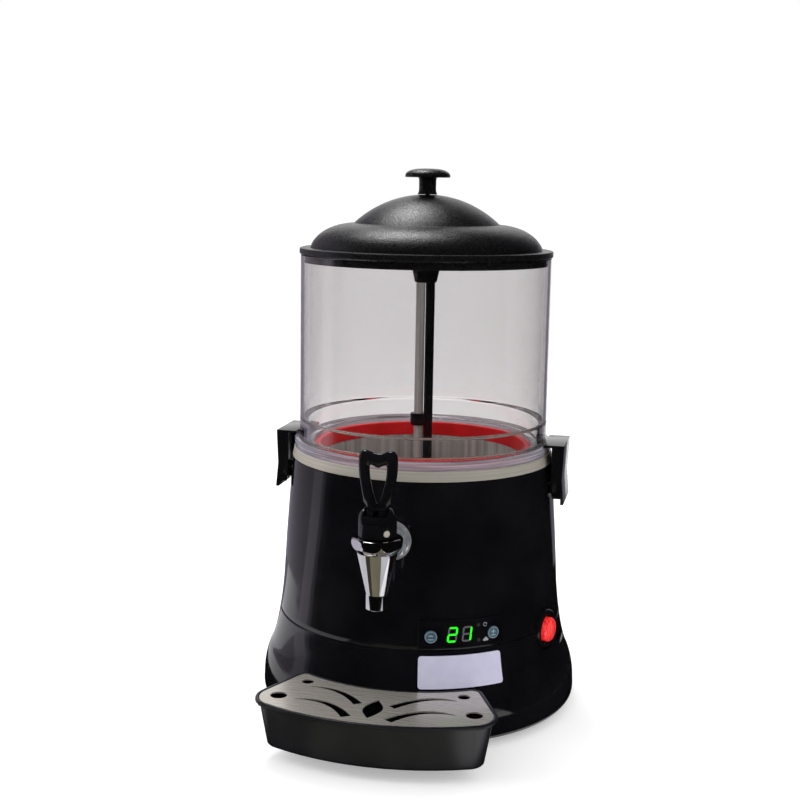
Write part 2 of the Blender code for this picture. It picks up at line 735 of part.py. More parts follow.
def build_skirt():
    """Flared lower casing with an inward flange at its foot and a spigot for the upper shells."""
    outer = [(skirt_radius(height), height) for height in levels(SKIRT_OUTLINE_SHARES, SKIRT_BOTTOM, SKIRT_TOP)]
    spigot_top = SKIRT_TOP + SPIGOT_RISE
    spigot_inner = SPIGOT_RADIUS - SPIGOT_WALL
    root = SKIRT_TOP - SPIGOT_ROOT_DROP
    inner = [(radius - SKIRT_WALL, height) for radius, height in reversed(outer[::2])
             if FLANGE_TOP < height < root]
    spigot = [(SPIGOT_RADIUS, SKIRT_TOP), (SPIGOT_RADIUS, spigot_top), (spigot_inner, spigot_top),
              (spigot_inner, root)]
    flange = [(skirt_radius(FLANGE_TOP) - SKIRT_WALL, FLANGE_TOP), (SKIRT_FLANGE_INNER_RADIUS, FLANGE_TOP),
              (SKIRT_FLANGE_INNER_RADIUS, SKIRT_BOTTOM)]
    skirt = add_piece("base_skirt", turned(outer + spigot + inner + flange), (BLACK_GLOSS, 0.12))
    half = SIDE_SLOT_HEIGHT / 2.0
    cut(skirt, box((-SKIRT_FOOT_RADIUS, -SIDE_SLOT_WIDTH / 2.0, SIDE_SLOT_CENTRE - half),
                   (SKIRT_FOOT_RADIUS, SIDE_SLOT_WIDTH / 2.0, SIDE_SLOT_CENTRE + half)))
    cut(skirt, merge([tray_lug(side, LUG_CLEARANCE) for side in SIDES]))
    cut(skirt, moved(cylinder(SWITCH_RADIUS + GAP, SWITCH_BODY_BACK, SKIRT_FOOT_RADIUS, MEDIUM_STEPS),
                     outward(SWITCH_ANGLE, SWITCH_HEIGHT)))
    pad_x = INLET_WIDTH / 2.0 + INLET_FLANGE + GAP
    pad_z = INLET_TALL / 2.0 + INLET_FLANGE + GAP
    join(skirt, box((-pad_x, INLET_PAD_BACK, INLET_HEIGHT - pad_z), (pad_x, INLET_FACE - GAP, INLET_HEIGHT + pad_z)))
    cut(skirt, box((-INLET_WIDTH / 2.0 - GAP, SPIGOT_RADIUS, INLET_HEIGHT - INLET_TALL / 2.0 - GAP),
                   (INLET_WIDTH / 2.0 + GAP, INLET_FACE, INLET_HEIGHT + INLET_TALL / 2.0 + GAP)))
    cut(skirt, stud_holes())
    return skirt


def stud_holes():
    """Return the holes that the four foot studs pass through."""
    holes = []
    for angle in FOOT_ANGLES.values():
        hole = cylinder(FOOT_STUD_RADIUS + GAP, SKIRT_BOTTOM - OVERRUN, PLATE_TOP + OVERRUN, TINY_STEPS)
        holes.append(moved(hole, Matrix.Translation(polar(angle, FOOT_CIRCLE_RADIUS, 0.0))))
    return merge(holes)


def shell_profile():
    """Return the upper casing's closed section, with the shelf that carries the pan."""
    heights = levels(SHELL_OUTLINE_SHARES, SHELL_BOTTOM, SHELL_TOP)
    outer = [(shell_radius(height), height) for height in heights]
    shelf_bottom = SHELF_TOP - SHELL_SHELF_THICKNESS
    rim_inner = SHELL_TOP_RADIUS - SHELL_WALL
    top = [(rim_inner, SHELL_TOP), (rim_inner, SHELF_TOP), (SHELL_SHELF_INNER_RADIUS, SHELF_TOP),
           (SHELL_SHELF_INNER_RADIUS, shelf_bottom), (shell_radius(shelf_bottom) - SHELL_WALL, shelf_bottom)]
    inner = [(radius - SHELL_WALL, height) for radius, height in reversed(outer[::2]) if height < shelf_bottom]
    return outer + top + inner


def build_shells():
    """Front and rear halves of the upper casing, parted by a fine seam at each side."""
    seam = math.degrees(GAP / 2.0 / SHELL_TOP_RADIUS)
    front_angles = aligned_angles(-SHELL_SEAM_ANGLE + seam, SHELL_SEAM_ANGLE - seam)
    rear_angles = aligned_angles(SHELL_SEAM_ANGLE + seam, FULL_TURN - SHELL_SEAM_ANGLE - seam)
    front = add_piece("front_shell", revolve(shell_profile(), front_angles, False, True), (BLACK_GLOSS, 0.1))
    rear = add_piece("rear_shell", revolve(shell_profile(), rear_angles, False, True), (BLACK_GLOSS, 0.1))
    for shell in (front, rear):
        cut(shell, moved(cylinder(SWITCH_RADIUS + GAP, SWITCH_BODY_BACK, SKIRT_FOOT_RADIUS, MEDIUM_STEPS),
                         outward(SWITCH_ANGLE, SWITCH_HEIGHT)))
    cut(front, moved(cylinder(SHANK_RADIUS + LUG_CLEARANCE, PAN_RADIUS, SHELL_BOTTOM_RADIUS),
                     outward(0.0, PAN_OUTLET_HEIGHT)))
    cut(front, moved(box((-WINDOW_HALF_WIDTH, WINDOW_BOTTOM, BOARD_POST_REACH),
                         (WINDOW_HALF_WIDTH, WINDOW_TOP, SKIRT_FOOT_RADIUS)), outward(PANEL_ANGLE, 0.0)))
    cut(front, merge([button_shape(side, BUTTON_RADIUS + GAP, BOARD_DISTANCE, SKIRT_FOOT_RADIUS)
                      for side in (-1.0, 1.0)]))
    vents = []
    for count in range(VENT_COUNT):
        low = VENT_LOWEST + count * VENT_PITCH
        vents.append(box((-VENT_WIDTH / 2.0, SHELL_SHELF_INNER_RADIUS, low),
                         (VENT_WIDTH / 2.0, SHELL_BOTTOM_RADIUS, low + VENT_HEIGHT)))
    cut(rear, merge(vents))
    for side in LATCH_SIDES.values():
        for end in (-1.0, 1.0):
            join(rear, latch_ear(side, end))
    for side in LATCH_SIDES.values():
        cut(rear, latch_pin_shape(side, LATCH_PIN_RADIUS + GAP, EAR_SPACING + OVERRUN))
    return front, rear


def latch_ear(side, end):
    """Return one ear on the casing that carries a latch pin."""
    out = LATCH_PIN_OUT
    outline = [(EAR_ROOT, LATCH_PIN_HEIGHT - EAR_RADIUS * 2.0), (out, LATCH_PIN_HEIGHT - EAR_RADIUS)]
    for count in range(1, TINY_STEPS // 2):
        turn = math.pi * count / (TINY_STEPS // 2) - math.pi / 2.0
        outline.append((out + EAR_RADIUS * math.cos(turn), LATCH_PIN_HEIGHT + EAR_RADIUS * math.sin(turn)))
    outline += [(out, LATCH_PIN_HEIGHT + EAR_RADIUS), (EAR_ROOT, LATCH_PIN_HEIGHT + EAR_RADIUS)]
    ear = front_prism([(side * x, z) for x, z in outline], EAR_THICKNESS / 2.0)
    return moved(ear, shift(y=end * (EAR_SPACING - EAR_THICKNESS) / 2.0))


def latch_pin_shape(side, radius, length):
    """Return a round bar along a latch's pivot axis."""
    pin = cylinder(radius, -length / 2.0, length / 2.0, TINY_STEPS)
    pin = moved(pin, Matrix.Rotation(math.radians(90.0), 4, "X"))
    return moved(pin, shift(x=side * LATCH_PIN_OUT, z=LATCH_PIN_HEIGHT))


def build_latches():
    """Side latches: open-bottomed grips whose top plates hook over the bowl's flange."""
    body = [(LATCH_HOOK_REACH, LATCH_TOP - LATCH_TOP_PLATE), (LATCH_HOOK_REACH, LATCH_TOP),
            (LATCH_OUTER, LATCH_TOP), (LATCH_WAIST, LATCH_WAIST_HEIGHT), (LATCH_LIP_OUTER, LATCH_LIP_BOTTOM),
            (LATCH_LIP_OUTER - LATCH_WALL, LATCH_LIP_BOTTOM), (LATCH_LIP_OUTER - LATCH_WALL, LATCH_END_BOTTOM),
            (LATCH_END_INNER + LATCH_HEEL, LATCH_END_BOTTOM), (LATCH_END_INNER, LATCH_PIN_HEIGHT),
            (LATCH_END_INNER, LATCH_TOP - LATCH_TOP_PLATE)]
    hollow_top = LATCH_TOP - LATCH_TOP_PLATE - GAP
    hollow = [(LATCH_END_INNER - OVERRUN, hollow_top), (LATCH_OUTER - LATCH_WALL, hollow_top),
              (LATCH_WAIST - LATCH_WALL, LATCH_WAIST_HEIGHT),
              (LATCH_LIP_OUTER - LATCH_WALL - GAP, LATCH_END_BOTTOM),
              (LATCH_LIP_OUTER - LATCH_WALL - GAP, LATCH_END_BOTTOM - OVERRUN),
              (LATCH_END_INNER - OVERRUN, LATCH_END_BOTTOM - OVERRUN)]
    for label, side in LATCH_SIDES.items():
        pivot = (side * LATCH_PIN_OUT, 0.0, LATCH_PIN_HEIGHT)
        group = add_group("latch_" + label + "_pivot", pivot)
        shape = front_prism([(side * x, z) for x, z in body], LATCH_WIDTH / 2.0)
        latch = add_piece("latch_" + label, shape, (BLACK_GLOSS, 0.16), pivot, group)
        cut(latch, front_prism([(side * x, z) for x, z in hollow], LATCH_WIDTH / 2.0 - LATCH_END_WALL))
        cut(latch, latch_pin_shape(side, LATCH_PIN_RADIUS + GAP, LATCH_WIDTH + OVERRUN))
        pin = latch_pin_shape(side, LATCH_PIN_RADIUS, LATCH_WIDTH + 2.0 * LATCH_PIN_PROUD)
        add_piece("latch_pin_" + label, pin, (STEEL, 0.25, 1.0), pivot, group)


def build_base():
    """Steel closing plate inside the skirt and four rubber feet under it."""
    plate = add_piece("base_plate", cylinder(PLATE_RADIUS, PLATE_BOTTOM, PLATE_TOP, ROUND_STEPS),
                      (ZINC, 0.4, 1.0))
    cut(plate, stud_holes())
    top = SKIRT_BOTTOM - GAP
    profile = [(0.0, 0.0), (FOOT_RADIUS - FOOT_CHAMFER, 0.0), (FOOT_RADIUS, FOOT_CHAMFER), (FOOT_RADIUS, top),
               (FOOT_STUD_RADIUS, top), (FOOT_STUD_RADIUS, top + FOOT_STUD_RISE), (0.0, top + FOOT_STUD_RISE)]
    for label, angle in FOOT_ANGLES.items():
        place = polar(angle, FOOT_CIRCLE_RADIUS, 0.0)
        foot = moved(turned(profile, SMALL_STEPS), Matrix.Translation(place))
        add_piece("foot_" + label, foot, (BLACK_RUBBER, 0.8), place)


def build_pan():
    """Deep steel pan with a flat rim, a hole for the drive and a welded outlet union."""
    outer = PAN_RADIUS + PAN_WALL
    centre = PAN_FLOOR + PAN_CORNER_RADIUS
    inside = []
    outside = []
    for count in range(PAN_CORNER_STEPS + 1):
        turn = math.pi / 2.0 * count / PAN_CORNER_STEPS
        run = PAN_RADIUS - PAN_CORNER_RADIUS
        inside.append((run + PAN_CORNER_RADIUS * math.sin(turn), centre - PAN_CORNER_RADIUS * math.cos(turn)))
        reach = PAN_CORNER_RADIUS + PAN_WALL
        outside.append((run + reach * math.sin(turn), centre - reach * math.cos(turn)))
    profile = [(PAN_CENTRE_HOLE_RADIUS, PAN_UNDERSIDE)] + outside
    profile += [(outer, PAN_RIM_BOTTOM), (PAN_RIM_RADIUS, PAN_RIM_BOTTOM), (PAN_RIM_RADIUS, PAN_RIM_TOP),
                (PAN_RADIUS, PAN_RIM_TOP)]
    profile += list(reversed(inside)) + [(PAN_CENTRE_HOLE_RADIUS, PAN_FLOOR)]
    pan = add_piece("product_pan", turned(profile), (STEEL, 0.22, 1.0))
    union = cylinder(PAN_UNION_RADIUS, PAN_RADIUS + GAP, outer + PAN_UNION_LENGTH, MEDIUM_STEPS)
    join(pan, moved(union, outward(0.0, PAN_OUTLET_HEIGHT)))
    socket = cylinder(SHANK_RADIUS + GAP, outer, outer + PAN_UNION_LENGTH + OVERRUN)
    cut(pan, moved(socket, outward(0.0, PAN_OUTLET_HEIGHT)))
    port = cylinder(SHANK_BORE_RADIUS, PAN_RADIUS - PAN_CORNER_RADIUS, outer + OVERRUN)
    cut(pan, moved(port, outward(0.0, PAN_OUTLET_HEIGHT)))


def build_rings():
    """Red silicone seal on the pan's rim and the brushed trim ring round it."""
    lip_top = SEAL_BOTTOM + SEAL_HEIGHT
    seal = [(SEAL_INNER_RADIUS, SEAL_BOTTOM), (SEAL_FOOT_RADIUS, SEAL_BOTTOM), (SEAL_FOOT_RADIUS, SEAL_FOOT_TOP),
            (SEAL_LIP_RADIUS, SEAL_FOOT_TOP), (SEAL_LIP_RADIUS, lip_top - SEAL_LIP_CHAMFER),
            (SEAL_LIP_RADIUS - SEAL_LIP_CHAMFER, lip_top), (SEAL_INNER_RADIUS + SEAL_LIP_CHAMFER, lip_top),
            (SEAL_INNER_RADIUS, lip_top - SEAL_LIP_CHAMFER)]
    add_piece("seal_ring", turned(seal), (RED_SILICONE, 0.45))
    trim = [(SHELL_TOP_RADIUS, TRIM_BOTTOM), (TRIM_TOP_RADIUS, TRIM_TOP),
            (SEAL_FOOT_RADIUS + GAP, TRIM_TOP), (SEAL_FOOT_RADIUS + GAP, TRIM_TOP - TRIM_THICKNESS),
            (TRIM_TOP_RADIUS - TRIM_THICKNESS, TRIM_TOP - TRIM_THICKNESS),
            (SHELL_TOP_RADIUS - TRIM_THICKNESS, TRIM_BOTTOM)]
    add_piece("trim_ring", turned(trim), (STEEL, 0.3, 1.0))


def build_bowl():
    """Clear bowl: a plain cylinder with an inner ledge near its foot and a wide foot flange."""
    inner = BOWL_RADIUS - BOWL_WALL
    ledge_bottom = BOWL_BOTTOM + BOWL_LEDGE_BOTTOM_RISE
    profile = [(BOWL_FOOT_INNER_RADIUS, BOWL_BOTTOM), (BOWL_FLANGE_RADIUS, BOWL_BOTTOM),
               (BOWL_FLANGE_RADIUS, BOWL_FLANGE_TOP), (BOWL_RADIUS, BOWL_FLANGE_TOP), (BOWL_RADIUS, BOWL_TOP),
               (inner, BOWL_TOP), (inner, BOWL_LEDGE_TOP + BOWL_LEDGE_SLOPE),
               (BOWL_LEDGE_INNER_RADIUS, BOWL_LEDGE_TOP), (BOWL_LEDGE_INNER_RADIUS, ledge_bottom),
               (BOWL_FOOT_INNER_RADIUS, ledge_bottom - BOWL_LEDGE_SLOPE)]
    add_piece("bowl", turned(profile), (CLEAR, 0.03, 0.0, 1.0))


def lid_curve(inset, shoulder_steps, crown_steps):
    """Return the lid's double dome from its lip to its top, set in by a wall."""
    across = LID_SHOULDER_RADIUS - inset
    tall = LID_SHOULDER_HEIGHT - inset
    low = math.asin(LID_LIP_HEIGHT / LID_SHOULDER_HEIGHT)
    high = math.acos((LID_CREASE_RADIUS - LID_SHOULDER_CENTRE_RADIUS) / LID_SHOULDER_RADIUS)
    points = []
    for count in range(shoulder_steps):
        turn = low + (high - low) * count / shoulder_steps
        points.append((LID_SHOULDER_CENTRE_RADIUS + across * math.cos(turn), LID_BOTTOM + tall * math.sin(turn)))
    sphere = LID_CROWN_SPHERE - inset
    base = LID_CROWN_TOP - LID_CROWN_SPHERE
    crease = math.asin(LID_CREASE_RADIUS / LID_CROWN_SPHERE)
    hub = math.asin(LID_HUB_RADIUS / LID_CROWN_SPHERE)
    for count in range(crown_steps + 1):
        turn = crease + (hub - crease) * count / crown_steps
        points.append((sphere * math.sin(turn), base + sphere * math.cos(turn)))
    return points


def build_lid():
    """Lift-off double-domed lid with its knob and the screw that holds the knob."""
    lip_top = LID_BOTTOM + LID_LIP_HEIGHT
    skirt_bottom = LID_BOTTOM - LID_SKIRT_DROP
    skirt_inner = LID_SKIRT_RADIUS - LID_SKIRT_WALL
    outside = lid_curve(0.0, LID_SHOULDER_STEPS, LID_CROWN_STEPS)
    inside = lid_curve(LID_WALL, LID_SHOULDER_STEPS // 2, LID_CROWN_STEPS // 2)
    top = outside[-1][1]
    profile = [(LID_SKIRT_RADIUS, skirt_bottom), (LID_SKIRT_RADIUS, LID_BOTTOM), (LID_LIP_RADIUS, LID_BOTTOM),
               (LID_LIP_RADIUS, lip_top - LID_WALL / 2.0), (LID_LIP_RADIUS - LID_WALL / 2.0, lip_top)]
    profile += outside + [(0.0, top), (0.0, top - LID_WALL)]
    ledge = lip_top - LID_WALL
    profile += list(reversed(inside)) + [(inside[0][0], ledge), (skirt_inner, ledge), (skirt_inner, skirt_bottom)]
    group = add_group("lid_lift", (0.0, 0.0, LID_BOTTOM))
    lid = add_piece("lid", turned(profile), (BLACK_SATIN, 0.42), (0.0, 0.0, LID_BOTTOM), group)
    foot = top + GAP
    hole = KNOB_SCREW_RADIUS + GAP
    cut(lid, cylinder(hole, top - 2.0 * LID_WALL, top + OVERRUN, TINY_STEPS))
    disc_bottom = KNOB_TOP - KNOB_DISC_HEIGHT
    knob = [(0.0, foot), (KNOB_FOOT_RADIUS - GAP, foot), (KNOB_FOOT_RADIUS, foot + GAP),
            (KNOB_NECK_RADIUS, foot + KNOB_FOOT_HEIGHT), (KNOB_NECK_RADIUS, disc_bottom - GAP)]
    for reach, rise in KNOB_DISC_SHARES:
        knob.append((KNOB_DISC_RADIUS * reach, disc_bottom + KNOB_DISC_HEIGHT * rise))
    knob.append((0.0, KNOB_TOP))
    grip = add_piece("lid_knob", turned(knob, MEDIUM_STEPS), (BLACK_SATIN, 0.3), (0.0, 0.0, foot), group)
    head_top = top - LID_WALL - GAP
    screw_top = head_top + KNOB_SCREW_LENGTH
    cut(grip, cylinder(hole, foot - OVERRUN, screw_top + GAP, TINY_STEPS))
    screw = [(0.0, head_top - KNOB_SCREW_HEAD_HEIGHT), (KNOB_SCREW_HEAD_RADIUS, head_top - KNOB_SCREW_HEAD_HEIGHT),
             (KNOB_SCREW_HEAD_RADIUS, head_top), (KNOB_SCREW_RADIUS, head_top), (KNOB_SCREW_RADIUS, screw_top),
             (0.0, screw_top)]
    add_piece("knob_screw", turned(screw, TINY_STEPS), (STEEL, 0.3, 1.0), (0.0, 0.0, head_top), group)


def upright_places():
    """Return the places of the steel rod and of the stem beside it, on either side of the axis."""
    turn = math.radians(STIRRER_REST_ANGLE)
    across = Vector((math.cos(turn), math.sin(turn), 0.0)) * UPRIGHT_OFFSET
    return -across, across


def upright(radius, low, high, place, steps=SMALL_STEPS):
    """Return a round bar at one upright's place."""
    return moved(cylinder(radius, low, high, steps), Matrix.Translation(place))


def blade_outline(side):
    """Return one swept paddle blade in plan, from the hub to its tip."""
    leading = []
    trailing = []
    for count in range(PADDLE_BLADE_STEPS + 1):
        share = count / PADDLE_BLADE_STEPS
        along = PADDLE_HUB_RADIUS / 2.0 + (PADDLE_REACH - PADDLE_HUB_RADIUS / 2.0) * share
        bend = PADDLE_BLADE_SWEEP * share * share
        leading.append((side * along, side * (bend + PADDLE_BLADE_THICKNESS / 2.0)))
        trailing.append((side * along, side * (bend - PADDLE_BLADE_THICKNESS / 2.0)))
    return leading + list(reversed(trailing))


def build_stirrer():
    """Stirrer that turns on the drive shaft: paddle, rod, stem, clip and top hub."""
    group = add_group("stirrer_axis", (0.0, 0.0, PAN_FLOOR))
    origin = (0.0, 0.0, PAN_FLOOR)
    rod_place, stem_place = upright_places()
    add_piece("stirrer_rod", upright(UPRIGHT_RADIUS, UPRIGHT_BOTTOM, UPRIGHT_TOP, rod_place),
              (STEEL, 0.18, 1.0), origin, group)
    add_piece("stirrer_stem", upright(UPRIGHT_RADIUS, UPRIGHT_BOTTOM, UPRIGHT_TOP, stem_place),
              (BLACK_GLOSS, 0.12), origin, group)
    cone_top = HUB_BOTTOM + HUB_CONE_RISE
    rim_top = cone_top + HUB_RIM_RISE
    crown = rim_top + HUB_CROWN_RISE
    hub = [(0.0, HUB_BOTTOM), (HUB_SMALL_RADIUS, HUB_BOTTOM), (HUB_LARGE_RADIUS, cone_top),
           (HUB_LARGE_RADIUS, rim_top), (HUB_SMALL_RADIUS, crown), (0.0, crown)]
    top_hub = add_piece("stirrer_hub", turned(hub, MEDIUM_STEPS), (BLACK_SATIN, 0.3), origin, group)
    for place in (rod_place, stem_place):
        cut(top_hub, upright(UPRIGHT_RADIUS + GAP, HUB_BOTTOM - OVERRUN, UPRIGHT_TOP + GAP, place))
    ring = tube(UPRIGHT_RADIUS + GAP, CLIP_RADIUS, CLIP_BOTTOM, CLIP_BOTTOM + CLIP_HEIGHT, MEDIUM_STEPS)
    clip = add_piece("stirrer_clip", moved(ring, Matrix.Translation(rod_place)), (BLACK_SATIN, 0.3), origin, group)
    cut(clip, upright(UPRIGHT_RADIUS + GAP, CLIP_BOTTOM - OVERRUN, CLIP_BOTTOM + CLIP_HEIGHT + OVERRUN, stem_place))
    bottom = PAN_FLOOR + SHAFT_SEAL_FLANGE_HEIGHT + PADDLE_CLEARANCE
    paddle = add_piece("paddle", cylinder(PADDLE_HUB_RADIUS, bottom, PADDLE_HUB_TOP, MEDIUM_STEPS),
                       (BLACK_SATIN, 0.35), origin, group)
    for side in (-1.0, 1.0):
        join(paddle, prism(blade_outline(side), bottom + PADDLE_CLEARANCE, bottom + PADDLE_BLADE_HEIGHT))
    cut(paddle, cylinder(SHAFT_BORE_RADIUS, bottom - OVERRUN, SHAFT_TOP + GAP))
    for place in (rod_place, stem_place):
        cut(paddle, upright(UPRIGHT_RADIUS + GAP, PADDLE_HUB_TOP - PADDLE_SOCKET_DEPTH,
                            PADDLE_HUB_TOP + OVERRUN, place))
    shaft_bottom = GEARBOX_TOP - GEARBOX_BORE_DEPTH + GAP
    add_piece("drive_shaft", cylinder(SHAFT_RADIUS, shaft_bottom, SHAFT_TOP), (STEEL, 0.25, 1.0), origin, group)


def build_drive():
    """Shaft seal in the pan's floor, heater, thermostat, motor bracket, gearbox and motor."""
    seal_outer = PAN_CENTRE_HOLE_RADIUS - GAP
    flange_bottom = PAN_FLOOR + GAP
    flange_top = PAN_FLOOR + SHAFT_SEAL_FLANGE_HEIGHT
    seal_bottom = PAN_FLOOR - SHAFT_SEAL_DROP
    seal = [(SHAFT_BORE_RADIUS, seal_bottom), (seal_outer, seal_bottom), (seal_outer, flange_bottom),
            (SHAFT_SEAL_FLANGE_RADIUS, flange_bottom), (SHAFT_SEAL_FLANGE_RADIUS, flange_top),
            (SHAFT_BORE_RADIUS, flange_top)]
    add_piece("shaft_seal", turned(seal, MEDIUM_STEPS), (RED_SILICONE, 0.5))
    heater_top = PAN_UNDERSIDE - GAP
    add_piece("heater_ring", tube(HEATER_INNER_RADIUS, HEATER_OUTER_RADIUS, heater_top - HEATER_HEIGHT,
                                  heater_top, MEDIUM_STEPS), (ALUMINIUM, 0.5, 1.0))
    sensor = cylinder(THERMOSTAT_RADIUS, heater_top - THERMOSTAT_HEIGHT, heater_top)
    add_piece("thermostat", moved(sensor, shift(y=THERMOSTAT_PLACE)), (BLACK_SATIN, 0.5))
    half = BRACKET_SPAN / 2.0
    wall = half + BRACKET_SHEET
    tab = wall + BRACKET_TAB
    floor = BRACKET_FLOOR_TOP - BRACKET_SHEET
    tab_bottom = BRACKET_TOP - BRACKET_SHEET
    outline = [(-tab, BRACKET_TOP), (-tab, tab_bottom), (-wall, tab_bottom), (-wall, floor), (wall, floor),
               (wall, tab_bottom), (tab, tab_bottom), (tab, BRACKET_TOP), (half, BRACKET_TOP),
               (half, BRACKET_FLOOR_TOP), (-half, BRACKET_FLOOR_TOP), (-half, BRACKET_TOP)]
    bracket = add_piece("motor_bracket", front_prism(outline, BRACKET_WIDTH / 2.0), (ZINC, 0.4, 1.0))
    cut(bracket, cylinder(BRACKET_HOLE_RADIUS, floor - OVERRUN, BRACKET_FLOOR_TOP + OVERRUN))
    gearbox = add_piece("gearbox", box((-GEARBOX_LENGTH / 2.0, -GEARBOX_WIDTH / 2.0, GEARBOX_BOTTOM),
                                       (GEARBOX_LENGTH / 2.0, GEARBOX_WIDTH / 2.0, GEARBOX_TOP)),
                        (ZINC, 0.45, 1.0))
    cut(gearbox, cylinder(SHAFT_BORE_RADIUS, GEARBOX_TOP - GEARBOX_BORE_DEPTH, GEARBOX_TOP + OVERRUN))
    motor_top = GEARBOX_BOTTOM - GAP
    motor = cylinder(MOTOR_RADIUS, motor_top - MOTOR_HEIGHT, motor_top, MEDIUM_STEPS)
    add_piece("motor", moved(motor, shift(x=MOTOR_OFFSET)), (ALUMINIUM, 0.4, 1.0))


def tap_shift():
    """Return the move from the machine's axis to the tap's axis."""
    return shift(y=-TAP_REACH)


def build_tap_body():
    """Chrome tap body: spout, cone and eight-sided collar round a valve chamber."""
    collar = []
    for bulge, rise in TAP_COLLAR_SHARES:
        radius = TAP_CONE_RADIUS + bulge * (TAP_COLLAR_RADIUS - TAP_CONE_RADIUS)
        collar.append((radius, TAP_CONE_TOP + rise * (TAP_COLLAR_TOP - TAP_CONE_TOP)))
    seat = TAP_CHAMBER_BOTTOM - TAP_SEAT_DEPTH
    bore_top = seat - OVERRUN
    profile = [(TAP_SEAT_RADIUS, TAP_SPOUT_BOTTOM), (TAP_SPOUT_RADIUS, TAP_SPOUT_BOTTOM),
               (TAP_SPOUT_RADIUS, TAP_SPOUT_BOTTOM + TAP_SPOUT_STRAIGHT), (TAP_CONE_RADIUS, TAP_CONE_TOP)]
    profile += collar + [(BONNET_RADIUS, TAP_COLLAR_TOP), (0.0, TAP_COLLAR_TOP), (0.0, bore_top),
                         (TAP_SEAT_RADIUS, bore_top)]
    body = add_piece("tap_body", moved(turned(profile, TAP_STEPS), tap_shift()), (CHROME, 0.05, 1.0))
    corner = TAP_FLAT_REACH / math.cos(math.pi / TAP_FLAT_COUNT)
    turns = [angle + FULL_TURN / TAP_FLAT_COUNT / 2.0 for angle in even_angles(TAP_FLAT_COUNT)]
    top = TAP_COLLAR_TOP + OVERRUN
    waste = revolve([(corner, TAP_CONE_TOP), (2.0 * corner, TAP_CONE_TOP), (2.0 * corner, top), (corner, top)],
                    turns)
    cut(body, moved(waste, tap_shift()))
    to_tap = outward(0.0, PAN_OUTLET_HEIGHT)
    boss = cylinder(TAP_BOSS_RADIUS, TAP_BOSS_END, TAP_REACH, TAP_STEPS)
    join(body, moved(boss, to_tap @ half_step(TAP_STEPS)))
    throat = TAP_SEAT_RADIUS + GAP
    chamber = [(0.0, bore_top - OVERRUN), (throat, bore_top - OVERRUN), (throat, seat),
               (TAP_CHAMBER_RADIUS, TAP_CHAMBER_BOTTOM), (TAP_CHAMBER_RADIUS, top), (0.0, top)]
    passage = cut(body, moved(turned(chamber, TAP_STEPS), tap_shift()))
    inlet = cylinder(TAP_INLET_RADIUS, SHANK_SOCKET_END - OVERRUN, TAP_REACH)
    join(passage, moved(inlet, to_tap @ half_step(SMALL_STEPS)))
    socket = cylinder(SHANK_RADIUS + GAP, TAP_BOSS_END - OVERRUN, SHANK_SOCKET_END + GAP)
    join(passage, moved(socket, to_tap @ half_step(SMALL_STEPS)))


def add_nut(name, flats, low, thickness, look):
    """Add a six-sided nut round the tap's shank."""
    to_tap = outward(0.0, PAN_OUTLET_HEIGHT)
    body = cylinder(flats / math.sqrt(3.0), low, low + thickness, HEX_STEPS)
    nut = add_piece(name, moved(body, to_tap), look)
    bore = cylinder(SHANK_RADIUS + GAP, low - OVERRUN, low + thickness + OVERRUN)
    cut(nut, moved(bore, to_tap))


def build_shank():
    """Steel pipe from the pan to the tap, with its seal, its nuts and the chrome rosette."""
    pan_face = PAN_RADIUS + PAN_WALL
    shank_end = pan_face + GAP
    to_tap = outward(0.0, PAN_OUTLET_HEIGHT)
    add_piece("tap_shank", moved(tube(SHANK_BORE_RADIUS, SHANK_RADIUS, shank_end, SHANK_SOCKET_END), to_tap),
              (STEEL, 0.3, 1.0))
    sleeve = SHANK_RADIUS + GAP
    seal_start = pan_face + PAN_UNION_LENGTH + GAP
    seal_end = seal_start + SHANK_SEAL_THICKNESS
    add_piece("shank_seal", moved(tube(sleeve, PAN_UNION_RADIUS, seal_start, seal_end), to_tap),
              (RED_SILICONE, 0.5))
    inner_start = seal_end + GAP
    add_nut("inner_nut", INNER_NUT_FLATS, inner_start, INNER_NUT_THICKNESS, (BRASS, 0.35, 1.0))
    face = ROSETTE_BACK + ROSETTE_THICKNESS
    rosette = [(sleeve, ROSETTE_BACK), (ROSETTE_RADIUS, ROSETTE_BACK), (ROSETTE_RADIUS, face - ROSETTE_RIM),
               (ROSETTE_RADIUS - ROSETTE_RIM, face), (sleeve, face)]
    add_piece("tap_rosette", moved(turned(rosette, MEDIUM_STEPS), to_tap), (CHROME, 0.05, 1.0))
    add_nut("shank_nut", NUT_FLATS, face + GAP, NUT_THICKNESS, (CHROME, NUT_ROUGHNESS, 1.0))


